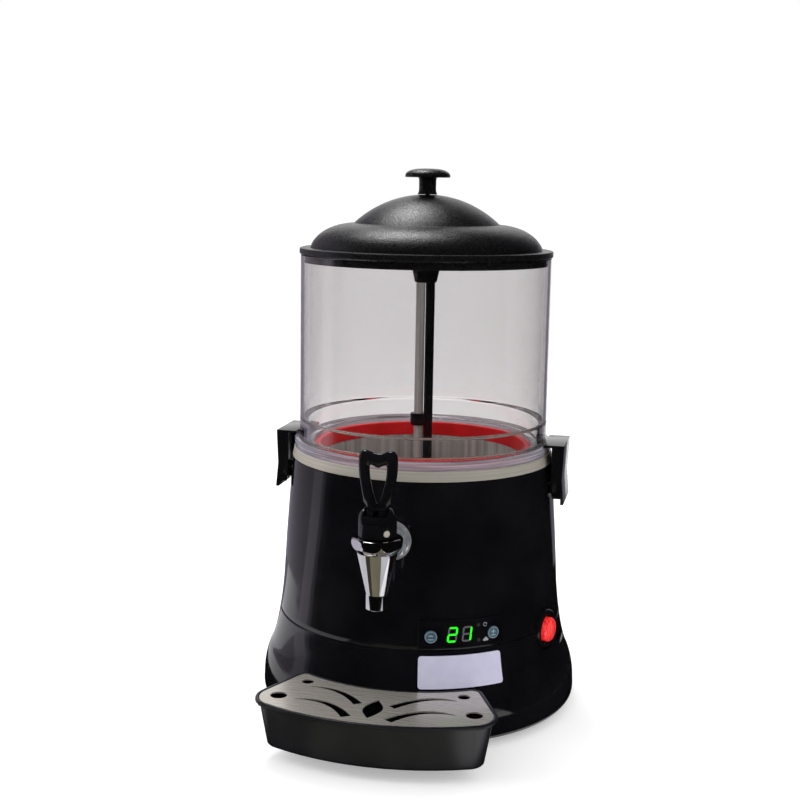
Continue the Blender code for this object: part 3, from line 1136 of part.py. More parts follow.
def build_bonnet():
    """Black bonnet that closes the valve chamber and forks round the lever."""
    top = LEVER_PIVOT_HEIGHT + BONNET_CHEEK_RADIUS + OVERRUN
    spigot = TAP_CHAMBER_RADIUS - GAP
    rod_hole = VALVE_ROD_RADIUS + GAP
    spigot_bottom = BONNET_BOTTOM - BONNET_SPIGOT_DROP
    profile = [(BONNET_SPRING_RADIUS, spigot_bottom), (spigot, spigot_bottom), (spigot, BONNET_BOTTOM),
               (BONNET_RADIUS, BONNET_BOTTOM), (BONNET_RADIUS, top), (rod_hole, top),
               (rod_hole, BONNET_SPRING_TOP), (BONNET_SPRING_RADIUS, BONNET_SPRING_TOP)]
    bonnet = add_piece("tap_bonnet", moved(turned(profile, MEDIUM_STEPS), tap_shift()), (BLACK_GLOSS, 0.15))
    half = BONNET_FORK_WIDTH / 2.0
    cut(bonnet, moved(box((-half, -2.0 * BONNET_RADIUS, BONNET_FORK_FLOOR),
                          (half, 2.0 * BONNET_RADIUS, top + OVERRUN)), tap_shift()))
    arc = []
    for count in range(TINY_STEPS + 1):
        turn = math.pi * count / TINY_STEPS
        arc.append((-BONNET_CHEEK_RADIUS * math.cos(turn),
                    LEVER_PIVOT_HEIGHT + BONNET_CHEEK_RADIUS * math.sin(turn)))
    edge = 2.0 * BONNET_RADIUS
    shoulders = [(-edge, LEVER_PIVOT_HEIGHT)] + arc + [(edge, LEVER_PIVOT_HEIGHT), (edge, top + OVERRUN),
                                                       (-edge, top + OVERRUN)]
    cut(bonnet, moved(side_prism(shoulders, edge), tap_shift()))
    cut(bonnet, pivot_bar(LEVER_PIN_RADIUS + GAP, 2.0 * edge))
    cut(bonnet, set_screw_shape(SET_SCREW_RADIUS + GAP, OVERRUN))
    add_piece("bonnet_screw", set_screw_shape(SET_SCREW_RADIUS, 0.0), (STEEL, 0.3, 1.0))


def set_screw_shape(radius, extra):
    """Return the small screw that locks the bonnet, or its hole when lengthened."""
    end = BONNET_RADIUS + SET_SCREW_PROUD
    inner = end - SET_SCREW_LENGTH
    screw = cylinder(radius, inner - (GAP if extra else 0.0), end + extra, TINY_STEPS)
    return moved(moved(screw, outward(SET_SCREW_ANGLE, SET_SCREW_HEIGHT)), tap_shift())


def pivot_bar(radius, length, offset=0.0):
    """Return a round bar along the lever's pivot axis, or behind it by an offset."""
    bar = moved(cylinder(radius, -length / 2.0, length / 2.0, TINY_STEPS), along_x())
    return moved(bar, shift(y=-TAP_REACH + offset, z=LEVER_PIVOT_HEIGHT))


def lever_points(shares):
    """Return one half of a lever outline from its table of shares, then its mirror."""
    half = [(across * LEVER_HALF_WIDTH, LEVER_PIVOT_HEIGHT + up * LEVER_HEIGHT) for across, up in shares]
    return half + [(-x, z) for x, z in reversed(half) if x > 0.0]


def build_lever():
    """Loop lever on its pivot pin, with the crank pin that lifts the valve."""
    pivot = (0.0, -TAP_REACH, LEVER_PIVOT_HEIGHT)
    group = add_group("lever_pivot", pivot)
    loop = moved(front_prism(lever_points(LEVER_OUTLINE_SHARES), LEVER_THICKNESS / 2.0), tap_shift())
    lever = add_piece("tap_lever", loop, (BLACK_GLOSS, 0.18), pivot, group)
    cut(lever, moved(front_prism(lever_points(LEVER_WINDOW_SHARES), LEVER_THICKNESS), tap_shift()))
    hub = moved(cylinder(LEVER_HUB_RADIUS, -LEVER_HUB_WIDTH / 2.0, LEVER_HUB_WIDTH / 2.0, MEDIUM_STEPS), along_x())
    join(lever, moved(hub, shift(y=-TAP_REACH, z=LEVER_PIVOT_HEIGHT)))
    half = LEVER_FORK_WIDTH / 2.0
    cut(lever, moved(box((-half, -2.0 * LEVER_HUB_RADIUS, LEVER_PIVOT_HEIGHT - 2.0 * LEVER_HUB_RADIUS),
                         (half, 2.0 * LEVER_HUB_RADIUS, LEVER_PIVOT_HEIGHT + LEVER_FORK_RISE)), tap_shift()))
    cut(lever, pivot_bar(LEVER_PIN_RADIUS + GAP, 2.0 * LEVER_HUB_WIDTH))
    cut(lever, pivot_bar(CRANK_RADIUS + GAP, 2.0 * LEVER_HUB_WIDTH, CRANK_OFFSET))
    add_piece("lever_pin", pivot_bar(LEVER_PIN_RADIUS, LEVER_PIN_LENGTH), (STEEL, 0.25, 1.0), pivot)
    add_piece("crank_pin", pivot_bar(CRANK_RADIUS, CRANK_LENGTH, CRANK_OFFSET), (STEEL, 0.25, 1.0), pivot, group)


def spring_points(low, high):
    """Return the path of the valve spring, one smooth helix from end to end."""
    count = SPRING_TURNS * SPRING_TURN_POINTS
    points = []
    for index in range(count + 1):
        share = index / count
        turn = FULL_TURN * SPRING_TURNS * share
        points.append(polar(turn, SPRING_RADIUS, low + (high - low) * share) - Vector((0.0, TAP_REACH, 0.0)))
    return points


def build_valve():
    """Valve rod with its jaw, the silicone seat cup and the spring that closes it."""
    group = add_group("valve_axis", (0.0, -TAP_REACH, TAP_CHAMBER_BOTTOM))
    origin = (0.0, -TAP_REACH, TAP_CHAMBER_BOTTOM)
    cup_bottom = TAP_CHAMBER_BOTTOM + GAP
    rod_bottom = cup_bottom + ROD_TIP_RISE
    tongue_bottom = LEVER_PIVOT_HEIGHT - VALVE_TONGUE_BOTTOM
    rod = cylinder(VALVE_ROD_RADIUS, rod_bottom, tongue_bottom + VALVE_TONGUE_WIDTH / 2.0, TINY_STEPS)
    rod = add_piece("valve_rod", moved(rod, tap_shift()), (STEEL, 0.3, 1.0), origin, group)
    shoulder = -VALVE_TONGUE_SHOULDER
    outline = [(-VALVE_TONGUE_FRONT, -VALVE_TONGUE_BOTTOM), (VALVE_TONGUE_REAR, -VALVE_TONGUE_BOTTOM),
               (VALVE_TONGUE_REAR, VALVE_TONGUE_TOP), (VALVE_TONGUE_NECK, VALVE_TONGUE_TOP),
               (VALVE_TONGUE_NECK, VALVE_JAW_HALF), (VALVE_JAW_REACH, VALVE_JAW_HALF),
               (VALVE_JAW_REACH, -VALVE_JAW_HALF), (VALVE_TONGUE_NECK, -VALVE_JAW_HALF),
               (VALVE_TONGUE_NECK, shoulder), (-VALVE_TONGUE_FRONT, shoulder)]
    outline = [(y, LEVER_PIVOT_HEIGHT + z) for y, z in outline]
    join(rod, moved(side_prism(outline, VALVE_TONGUE_WIDTH / 2.0), tap_shift()))
    cup_top = cup_bottom + SEAT_CUP_HEIGHT
    hole = VALVE_ROD_RADIUS + GAP
    nose = SEAT_CUP_RADIUS - SEAT_CUP_NOSE
    cup = [(0.0, cup_bottom), (nose, cup_bottom), (SEAT_CUP_RADIUS, cup_bottom + SEAT_CUP_NOSE),
           (SEAT_CUP_RADIUS, cup_top - SEAT_CUP_NOSE), (nose, cup_top), (hole, cup_top),
           (hole, rod_bottom - GAP), (0.0, rod_bottom - GAP)]
    add_piece("seat_cup", moved(turned(cup, SMALL_STEPS), tap_shift()), (RED_SILICONE, 0.5), origin, group)
    low = cup_top + GAP + SPRING_WIRE
    high = BONNET_SPRING_TOP - GAP - SPRING_WIRE
    wire = swept_tube("valve_spring", spring_points(low, high), SPRING_WIRE)
    finish_curve(wire, (STEEL, 0.3, 1.0))


def swept_tube(name, points, radius):
    """Return a round wire along a path of straight steps, with closed ends."""
    path = bpy.data.curves.new(name, "CURVE")
    path.dimensions = "3D"
    path.bevel_depth = radius
    path.bevel_resolution = 0
    path.use_fill_caps = True
    spline = path.splines.new("POLY")
    spline.points.add(len(points) - 1)
    for slot, point in zip(spline.points, points):
        slot.co = (*point, 1.0)
    wire = bpy.data.objects.new(name, path)
    bpy.context.scene.collection.objects.link(wire)
    return wire


def finish_curve(wire, look):
    """Give a wire its own material."""
    wire.data.materials.append(make_material(wire.name, *look))


def side_corner(inset, radius):
    """Return half width and depth where the tray's slanted side, moved in, meets a circle."""
    back = Vector((TRAY_BACK_HALF_WIDTH, math.sqrt(TRAY_BACK_RADIUS ** 2 - TRAY_BACK_HALF_WIDTH ** 2)))
    front = Vector((TRAY_FRONT_HALF_WIDTH, math.sqrt(TRAY_OUTER_RADIUS ** 2 - TRAY_FRONT_HALF_WIDTH ** 2)))
    run = (front - back).normalized()
    start = back + Vector((-run.y, run.x)) * inset
    along = start.dot(run)
    reach = math.sqrt(radius ** 2 - start.length_squared + along ** 2) - along
    return start + run * reach


def rounded(corners):
    """Return an outline with each (x, y, radius) corner turned into a short arc."""
    outline = []
    for index, (x, y, radius) in enumerate(corners):
        here = Vector((x, y))
        if radius == 0.0:
            outline.append((x, y))
            continue
        before = (Vector(corners[index - 1][:2]) - here).normalized()
        after = (Vector(corners[(index + 1) % len(corners)][:2]) - here).normalized()
        half = before.angle(after) / 2.0
        centre = here + (before + after).normalized() * (radius / math.sin(half))
        start = here + before * (radius / math.tan(half)) - centre
        end = here + after * (radius / math.tan(half)) - centre
        sweep = start.angle_signed(end)
        for count in range(TRAY_ROUNDING_STEPS + 1):
            turn = -sweep * count / TRAY_ROUNDING_STEPS
            spoke = Vector((start.x * math.cos(turn) - start.y * math.sin(turn),
                            start.x * math.sin(turn) + start.y * math.cos(turn)))
            outline.append(tuple(centre + spoke))
    return outline


def tray_outline(inset):
    """Return the drip tray's plan, moved in: round front, slanted sides, back fitted to the skirt."""
    arcs = ((TRAY_OUTER_RADIUS - inset, TRAY_FRONT_ROUNDING, 1.0), (TRAY_BACK_RADIUS + inset, TRAY_BACK_ROUNDING, -1.0))
    corners = []
    for radius, rounding, way in arcs:
        corner = side_corner(inset, radius)
        end = way * math.degrees(math.atan2(corner.x, corner.y))
        for count in range(TRAY_ARC_STEPS + 1):
            point = polar(end * (2.0 * count / TRAY_ARC_STEPS - 1.0), radius, 0.0)
            bend = max(rounding - inset, TRAY_LEAST_ROUNDING) if count in (0, TRAY_ARC_STEPS) else 0.0
            corners.append((point.x, point.y, bend))
    return rounded(corners)


def ring_at(inset, height):
    """Return the tray's plan, moved in, as points at a height."""
    return [(x, y, height) for x, y in tray_outline(inset)]


def tray_lug(side, clearance):
    """Return a lug at the back of the tray, or the slot for it when given a clearance."""
    near = side * LUG_OFFSET - LUG_WIDTH / 2.0 - clearance
    far = side * LUG_OFFSET + LUG_WIDTH / 2.0 + clearance
    end = -LUG_END - GAP + clearance
    outline = [(near, end), (near, -math.sqrt(LUG_START_RADIUS ** 2 - near ** 2)),
               (far, -math.sqrt(LUG_START_RADIUS ** 2 - far ** 2)), (far, end)]
    return prism(outline, LUG_BOTTOM - clearance, LUG_BOTTOM + LUG_HEIGHT + clearance)


def build_tray():
    """Drip tray with a rim, a seat for the grille and two lugs that plug into the skirt."""
    seat = TRAY_RIM_TOP - TRAY_SEAT_DEPTH
    wall = TRAY_RIM_OVERHANG
    foot = wall + TRAY_DRAFT
    inner_top = TRAY_RIM_WIDTH + TRAY_SEAT_WIDTH
    inner_foot = foot + TRAY_WALL
    rings = [ring_at(foot + TRAY_EDGE_ROUNDING, TRAY_BOTTOM),
             ring_at(foot, TRAY_BOTTOM + TRAY_EDGE_ROUNDING),
             ring_at(wall, TRAY_RIM_BOTTOM), ring_at(0.0, TRAY_RIM_BOTTOM + GAP),
             ring_at(0.0, TRAY_RIM_TOP), ring_at(TRAY_RIM_WIDTH, TRAY_RIM_TOP),
             ring_at(TRAY_RIM_WIDTH, seat), ring_at(inner_top, seat),
             ring_at(inner_foot, TRAY_BOTTOM + TRAY_FLOOR + TRAY_EDGE_ROUNDING),
             ring_at(inner_foot + TRAY_EDGE_ROUNDING, TRAY_BOTTOM + TRAY_FLOOR)]
    centre = (0.0, -TRAY_BACK_RADIUS, TRAY_BOTTOM)
    group = add_group("tray_slide", centre)
    tray = add_piece("drip_tray", loft(rings), (BLACK_SATIN, 0.4), centre, group)
    for side in SIDES:
        join(tray, tray_lug(side, 0.0))
    build_grille(group)


def curved_slot(slot, side):
    """Return one crescent slot of the grille, thin at its tip and wide at its end."""
    tip, bend, end = Vector(slot["tip"]), Vector(slot["bend"]), Vector(slot["end"])
    outer = []
    inner = []
    for count in range(GRILLE_SLOT_STEPS + 1):
        share = count / GRILLE_SLOT_STEPS
        point = tip * (1.0 - share) ** 2 + bend * 2.0 * share * (1.0 - share) + end * share ** 2
        course = ((bend - tip) * (1.0 - share) + (end - bend) * share).normalized()
        width = slot["width"] * (GRILLE_SLOT_TIP_SHARE + GRILLE_SLOT_GROWTH_SHARE * share)
        across = Vector((-course.y, course.x)) * width / 2.0
        outer.append(point + across)
        inner.append(point - across)
    outline = [(side * point.x, -point.y) for point in outer + list(reversed(inner))]
    return prism(outline, GRILLE_BOTTOM - OVERRUN, TRAY_RIM_TOP + OVERRUN)


def build_grille(group):
    """Brushed steel grille plate that lies in the tray's seat."""
    low = GRILLE_BOTTOM
    high = low + GRILLE_THICKNESS
    outline = tray_outline(TRAY_RIM_WIDTH + GAP)
    grille = add_piece("drip_grille", prism(outline, low, high), (STEEL, 0.2, 1.0),
                       (0.0, -TRAY_BACK_RADIUS, low), group)
    tools = []
    for side in (-1.0, 1.0):
        for across, depth, radius in (GRILLE_REAR_HOLE, GRILLE_FRONT_HOLE):
            hole = cylinder(radius, low - OVERRUN, high + OVERRUN)
            tools.append(moved(hole, shift(x=side * across, y=-depth)))
        for slot in (GRILLE_REAR_SLOT, GRILLE_FRONT_SLOT):
            tools.append(curved_slot(slot, side))
    leaf = []
    for side in (-1.0, 1.0):
        for count in range(GRILLE_LEAF_STEPS):
            share = count / GRILLE_LEAF_STEPS
            run = share if side < 0.0 else 1.0 - share
            depth = GRILLE_LEAF_BACK + run * (GRILLE_LEAF_FRONT - GRILLE_LEAF_BACK)
            leaf.append((side * GRILLE_LEAF_HALF_WIDTH * math.sin(math.pi * run), -depth))
    tools.append(prism(leaf, low - OVERRUN, high + OVERRUN))
    cut(grille, merge(tools))


def casing_patch(radius_at, centre, half_angle, low, high, thickness):
    """Return a thin plate that lies on the round casing, following its facets."""
    heights = [low] + [height for height in levels(SKIRT_OUTLINE_SHARES, SKIRT_BOTTOM, SKIRT_TOP)
                       + levels(SHELL_OUTLINE_SHARES, SHELL_BOTTOM, SHELL_TOP) if low < height < high] + [high]
    inner = [(radius_at(height) + GAP, height) for height in heights]
    outer = [(radius_at(height) + GAP + thickness, height) for height in heights]
    return revolve(inner + list(reversed(outer)), aligned_angles(centre - half_angle, centre + half_angle),
                   False, True)


def button_shape(side, radius, start, end):
    """Return a round bar at one panel button's place."""
    return moved(cylinder(radius, start, end), outward(PANEL_ANGLE + side * PANEL_BUTTON_ANGLE, PANEL_BUTTON_HEIGHT))


def build_panel():
    """Control panel, its two buttons, the board behind it and the bare plate under it."""
    shape = casing_patch(shell_radius, PANEL_ANGLE, PANEL_HALF_ANGLE, PANEL_BOTTOM, PANEL_TOP, PANEL_THICKNESS)
    panel = add_piece("control_panel", shape, (BLACK_GLOSS, 0.12))
    cut(panel, merge([button_shape(side, BUTTON_RADIUS + GAP, BOARD_DISTANCE, SKIRT_FOOT_RADIUS)
                      for side in (-1.0, 1.0)]))
    face = shell_radius(PANEL_BUTTON_HEIGHT) + GAP + PANEL_THICKNESS + BUTTON_PROUD
    for label, side in (("minus", -1.0), ("plus", 1.0)):
        origin = polar(PANEL_ANGLE + side * PANEL_BUTTON_ANGLE, face, PANEL_BUTTON_HEIGHT)
        add_piece("button_" + label, button_shape(side, BUTTON_RADIUS, face - BUTTON_LENGTH, face),
                  (BUTTON_BLUE, 0.35), origin)
    to_board = outward(PANEL_ANGLE, 0.0)
    back = BOARD_DISTANCE - BOARD_THICKNESS
    board = add_piece("control_board", moved(box((-BOARD_HALF_WIDTH, BOARD_BOTTOM, back),
                                                 (BOARD_HALF_WIDTH, BOARD_TOP, BOARD_DISTANCE)), to_board),
                      (GREEN_BOARD, 0.5))
    middle = (BOARD_BOTTOM + BOARD_TOP) / 2.0
    join(board, moved(box((-DIGIT_HALF_WIDTH, middle - DIGIT_HALF_HEIGHT, back + GAP),
                          (DIGIT_HALF_WIDTH, middle + DIGIT_HALF_HEIGHT, DIGIT_REACH)), to_board))
    for side in (-1.0, 1.0):
        for height in (BOARD_BOTTOM + BOARD_POST_INSET, BOARD_TOP - BOARD_POST_INSET):
            post = cylinder(BOARD_POST_RADIUS, back + GAP, BOARD_POST_REACH, TINY_STEPS)
            join(board, moved(post, to_board @ shift(x=side * BOARD_POST_SPREAD, y=height)))
    for side in (-1.0, 1.0):
        across = side * BOARD_DISTANCE * math.tan(math.radians(PANEL_BUTTON_ANGLE))
        pad = cylinder(PAD_RADIUS, back + GAP, PAD_REACH, TINY_STEPS)
        join(board, moved(pad, to_board @ shift(x=across, y=PANEL_BUTTON_HEIGHT)))
    label = casing_patch(skirt_radius, PLATE_LABEL_ANGLE, PLATE_LABEL_HALF_ANGLE, PLATE_LABEL_BOTTOM,
                         PLATE_LABEL_TOP, PLATE_LABEL_THICKNESS)
    add_piece("blank_plate", label, (WHITE_PLATE, 0.3))


def build_switch():
    """Power switch: black round bezel and body, and the red push button in it."""
    to_switch = outward(SWITCH_ANGLE, SWITCH_HEIGHT)
    well = SWITCH_RADIUS - SWITCH_RIM_WIDTH
    well_bottom = SWITCH_FACE - SWITCH_WELL_DEPTH
    guide = SWITCH_STEM_RADIUS + GAP
    stop = well_bottom - SWITCH_STEM_LENGTH - SWITCH_TRAVEL - GAP
    profile = [(0.0, SWITCH_BODY_BACK), (SWITCH_BODY_RADIUS, SWITCH_BODY_BACK),
               (SWITCH_BODY_RADIUS, SWITCH_FLANGE_BACK), (SWITCH_RADIUS, SWITCH_FLANGE_BACK),
               (SWITCH_RADIUS, SWITCH_FACE - GAP), (SWITCH_RADIUS - GAP, SWITCH_FACE), (well, SWITCH_FACE),
               (well, well_bottom), (guide, well_bottom), (guide, stop), (0.0, stop)]
    add_piece("switch_body", moved(turned(profile, MEDIUM_STEPS), to_switch), (BLACK_SATIN, 0.25))
    rim = SWITCH_FACE + SWITCH_BUTTON_PROUD
    back = well_bottom + SWITCH_TRAVEL + GAP
    stem_end = back - SWITCH_STEM_LENGTH
    button = [(0.0, stem_end), (SWITCH_STEM_RADIUS, stem_end), (SWITCH_STEM_RADIUS, back),
              (SWITCH_BUTTON_RADIUS, back)]
    for reach, rise in SWITCH_CROWN_SHARES:
        button.append((SWITCH_BUTTON_RADIUS * reach, rim + SWITCH_BUTTON_CROWN * rise))
    add_piece("switch_button", moved(turned(button, MEDIUM_STEPS), to_switch), (RED_LENS, 0.2),
              polar(SWITCH_ANGLE, rim, SWITCH_HEIGHT))


def build_inlet():
    """Mains inlet in the back of the skirt, an open well with three pins."""
    half = INLET_WIDTH / 2.0
    low = INLET_HEIGHT - INLET_TALL / 2.0
    high = INLET_HEIGHT + INLET_TALL / 2.0
    front = INLET_FACE + INLET_FLANGE_THICKNESS
    inlet = add_piece("power_inlet", box((-half, front - INLET_DEPTH, low), (half, front, high)),
                      (BLACK_SATIN, 0.35), (0.0, front, INLET_HEIGHT))
    join(inlet, box((-half - INLET_FLANGE, INLET_FACE, low - INLET_FLANGE),
                    (half + INLET_FLANGE, front - GAP, high + INLET_FLANGE)))
    wall = INLET_WELL_WALL
    well_back = front - INLET_WELL_DEPTH
    cut(inlet, box((-half + wall, well_back, low + wall), (half - wall, front + OVERRUN, high - wall)))
    for side in (-1.0, 0.0, 1.0):
        drop = INLET_PIN_STEP if side else -INLET_PIN_STEP
        pin_low = INLET_HEIGHT - drop - INLET_PIN_TALL / 2.0
        across = side * INLET_PIN_SPREAD
        join(inlet, box((across - INLET_PIN_TALL / 2.0, well_back - OVERRUN, pin_low),
                        (across + INLET_PIN_TALL / 2.0, well_back + INLET_PIN_LENGTH, pin_low + INLET_PIN_WIDTH)))


def build_mains_board():
    """Mains board on the base plate, with its posts, transformer, capacitor and terminals."""
    place = shift(y=MAINS_BOARD_PLACE)
    low = PLATE_TOP + GAP
    top = low + MAINS_BOARD_RISE
    half_x = MAINS_BOARD_LENGTH / 2.0
    half_y = MAINS_BOARD_WIDTH / 2.0
    board = add_piece("mains_board", moved(box((-half_x, -half_y, top - BOARD_THICKNESS), (half_x, half_y, top)),
                                           place), (GREEN_BOARD, 0.5))
    for side_x in (-1.0, 1.0):
        for side_y in (-1.0, 1.0):
            post = cylinder(MAINS_POST_RADIUS, low, top - GAP, TINY_STEPS)
            at = shift(x=side_x * (half_x - MAINS_POST_INSET), y=side_y * (half_y - MAINS_POST_INSET))
            join(board, moved(post, place @ at))
    parts = ((TRANSFORMER, -half_x / 2.0, 0.0), (TERMINAL, half_x / 2.0, half_y / 2.0))
    for (length, width, height), x, y in parts:
        body = box((x - length / 2.0, y - width / 2.0, top - GAP), (x + length / 2.0, y + width / 2.0, top + height))
        join(board, moved(body, place))
    capacitor = cylinder(CAPACITOR_RADIUS, top - GAP, top + CAPACITOR_HEIGHT)
    join(board, moved(capacitor, place @ shift(x=half_x / 2.0, y=-half_y / 2.0)))


def centre_footprint():
    """Move everything so that the origin lies midway between the tray's front and the inlet's back."""
    offset = (TRAY_OUTER_RADIUS - INLET_FACE - INLET_FLANGE_THICKNESS) / 2.0
    for item in bpy.data.objects:
        if item.parent is None:
            item.location.y += offset


def build():
    """Build the whole machine."""
    clear_scene()
    build_skirt()
    build_shells()
    build_base()
    build_pan()
    build_rings()
    build_bowl()
    build_lid()
    build_stirrer()
    build_drive()
    build_latches()
    build_tap_body()
    build_shank()
    build_bonnet()
    build_lever()
    build_valve()
    build_tray()
    build_panel()
    build_switch()
    build_inlet()
    build_mains_board()
    centre_footprint()


build()
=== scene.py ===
"""Looks of the hot chocolate dispenser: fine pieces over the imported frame, finishes, light and camera.

Shapes are made in millimetres about the machine's own axis and placed in the frame at the end.
Angles round the machine are in degrees, from the front towards +X.
"""
import math

import bmesh
import bpy
from mathutils import Matrix, Vector


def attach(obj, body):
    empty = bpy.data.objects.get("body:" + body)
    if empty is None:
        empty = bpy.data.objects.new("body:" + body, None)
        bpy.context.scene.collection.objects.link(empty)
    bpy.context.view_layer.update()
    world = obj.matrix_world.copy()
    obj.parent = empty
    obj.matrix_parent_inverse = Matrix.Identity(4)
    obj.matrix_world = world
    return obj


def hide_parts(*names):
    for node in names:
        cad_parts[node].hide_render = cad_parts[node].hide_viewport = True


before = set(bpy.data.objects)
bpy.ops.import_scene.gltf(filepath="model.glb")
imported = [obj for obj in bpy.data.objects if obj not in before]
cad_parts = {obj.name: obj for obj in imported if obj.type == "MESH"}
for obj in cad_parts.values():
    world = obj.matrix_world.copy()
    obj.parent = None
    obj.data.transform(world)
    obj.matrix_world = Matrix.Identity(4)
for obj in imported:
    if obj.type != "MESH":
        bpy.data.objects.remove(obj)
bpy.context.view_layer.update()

# How far back the machine's axis stands in the frame
AXIS_Y = 32.9
TO_FRAME = Matrix.Scale(0.001, 4) @ Matrix.Translation((0.0, AXIS_Y, 0.0))
# Steps round a turned piece: bowl and lid, the casing, the tap, middling pieces, small ones and tiny ones
BROAD = 192
ROUND = 160
TAP_ROUND = 96
FINE = 72
SMALL = 40
TINY = 24

# Casing outlines, skirt and upper shell: share of the height, share of the flare
SKIRT_SHARES = [(0.0, 0.84), (0.04, 0.97), (0.19, 1.0), (0.30, 0.957), (0.41, 0.845), (0.51, 0.68),
                (0.58, 0.51), (0.66, 0.37), (0.795, 0.185), (0.93, 0.05), (1.0, 0.0)]
SHELL_SHARES = [(0.0, 1.0), (0.061, 0.894), (0.178, 0.73), (0.339, 0.596), (0.50, 0.471),
                (0.657, 0.327), (0.85, 0.142), (1.0, 0.0)]
# Height of the lower edge, rise from it, radius at the top and flare of each
SKIRT_FOOT, SKIRT_TALL, SKIRT_TOP_RADIUS, SKIRT_FLARE = 7.5, 74.8, 125.7, 14.1
SHELL_FOOT, SHELL_TALL, SHELL_TOP_RADIUS, SHELL_FLARE = 82.6, 137.0, 115.0, 10.4
# Angle where the upper casing's halves meet, and half the gap between them, in degrees too
SEAM = 75.0
HALF_GAP = 0.09
# Angle and height of what sits on the casing; KEY_ASIDE is counted from the panel's middle
PANEL_ANGLE, PANEL_HEIGHT = 28.2, 95.4
DISPLAY_ANGLE = 26.9
KEY_ASIDE, KEY_HEIGHT = 12.3, 94.0
PLATE_ANGLE, PLATE_HEIGHT = 27.3, 65.35
SWITCH_ANGLE, SWITCH_HEIGHT = 71.0, 82.0
# Level over the casing at which the panel's bars and marks start, just above the film
MARK_LEVEL = 1.56
# Tap: its distance from the axis, and the heights of its outlet bore and of its lever's pin
TAP_OUT = 168.0
OUTLET = 172.5
LEVER_PIN = 204.0
# Angle round the tap's own axis and height of the screw in its fork
FORK_SCREW = (42.0, 193.6)
# Stirrer: direction of the line through rod and stem, and how far each is from the axis
STEM_TURN, STEM_ASIDE = 11.5, 4.2
# Drip tray: radius and half width of its back and of its front, and how far aside its lugs are
TRAY_BACK, TRAY_BACK_HALF = 135.0, 74.2
TRAY_FRONT, TRAY_FRONT_HALF = 208.0, 104.2
LUG_ASIDE = 35.0
# Strength of the light that falls on things from all round; what is seen past the machine has 1
AMBIENT = 0.8


# ---------------------------------------------------------------- nodes and colours

def add_node(tree, kind, values=(), links=(), **options):
    """Add one node: options are its own, values and links go to its sockets by name or number."""
    node = tree.nodes.new(kind)
    for name, value in options.items():
        setattr(node, name, value)
    for name, value in dict(values).items():
        node.inputs[name].default_value = value
    for name, source in dict(links).items():
        tree.links.new(source, node.inputs[name])
    return node


def srgb(code):
    """Turn an sRGB hex colour into linear red, green, blue and alpha."""
    parts = [int(code[place:place + 2], 16) / 255.0 for place in (1, 3, 5)]
    return tuple(part / 12.92 if part <= 0.04045 else ((part + 0.055) / 1.055) ** 2.4 for part in parts) + (1.0,)


def new_finish(name, colour, **values):
    """Return a new material, its node tree and its shader, with the shader's own values set."""
    made = bpy.data.materials.new(name)
    made.use_nodes = True
    shader = made.node_tree.nodes["Principled BSDF"]
    shader.inputs["Base Color"].default_value = srgb(colour)
    for socket, value in values.items():
        shader.inputs[socket.replace("_", " ")].default_value = value
    return made, made.node_tree, shader


def layered(name, tones, cloud, grain, gloss, depth, drawn=(1.0, 1.0, 1.0), **values):
    """Return a finish: two tones that drift, and a grain that varies the gloss and raises the surface.

    cloud and grain are in millimetres, and drawn stretches both along the axes. gloss is the range of
    roughness, depth the relief in millimetres, and values are the shader's own.
    """
    made, tree, shader = new_finish(name, tones[0], **values)
    place = add_node(tree, "ShaderNodeTexCoord")
    fields = []
    for size in (cloud, grain):
        fitted = add_node(tree, "ShaderNodeMapping", {"Scale": [1000.0 / size / part for part in drawn]},
                          {"Vector": place.outputs["Object"]})
        fields.append(add_node(tree, "ShaderNodeTexNoise", {"Scale": 1.0, "Detail": 3.0},
                               {"Vector": fitted.outputs[0]}))
    drift = add_node(tree, "ShaderNodeValToRGB", (), {"Fac": fields[0].outputs["Fac"]})
    for element, share, tone in zip(drift.color_ramp.elements, (0.35, 0.65), tones):
        element.position, element.color = share, srgb(tone)
    sheen = add_node(tree, "ShaderNodeMapRange",
                     {"From Min": 0.35, "From Max": 0.65, "To Min": gloss[0], "To Max": gloss[1]},
                     {"Value": fields[1].outputs["Fac"]})
    relief = add_node(tree, "ShaderNodeBump", {"Distance": depth * 0.001}, {"Height": fields[1].outputs["Fac"]})
    for socket, source in (("Base Color", drift), ("Roughness", sheen), ("Normal", relief)):
        tree.links.new(source.outputs[0], shader.inputs[socket])
    return made


# ---------------------------------------------------------------- finishes

# Injection-moulded ABS from a polished mould: near-black, mirror-like, faintly wavy as a moulded wall is
CASING = layered("moulded_gloss_abs", ("#0a0a0c", "#111114"), 45.0, 14.0, (0.06, 0.12), 0.02, IOR=1.53)
# Spark-eroded ABS of the lid and its knob: an even pebble that turns highlights into broad soft sheens.
# The real pebble is 0.2 mm across; 1.1 mm is the finest that shows in the render
LID = layered("spark_textured_abs", ("#060607", "#161618"), 1.5, 1.1, (0.22, 0.46), 0.26, IOR=1.53)
# Satin ABS of the drip tray, paddle, inlet and thermostat: dark grey-black with a soft even sheen
SATIN = layered("satin_abs", ("#15161a", "#1b1c20"), 30.0, 1.1, (0.3, 0.42), 0.015, IOR=1.53)
# Semi-gloss ABS of fork, lever, latches, switch and the stirrer's plastic: black with a tight highlight
BLACK = layered("semi_gloss_abs", ("#0b0b0d", "#111113"), 30.0, 1.2, (0.1, 0.2), 0.012, IOR=1.53)
# Moulded polycarbonate of the bowl: clear, bright-edged, with slow waves and a trace of warmth
CLEAR = layered("clear_polycarbonate", ("#e6e4e4", "#eae8e9"), 60.0, 40.0, (0.0, 0.02), 0.01, (1.0, 1.0, 3.0),
                Transmission_Weight=1.0, IOR=1.585)
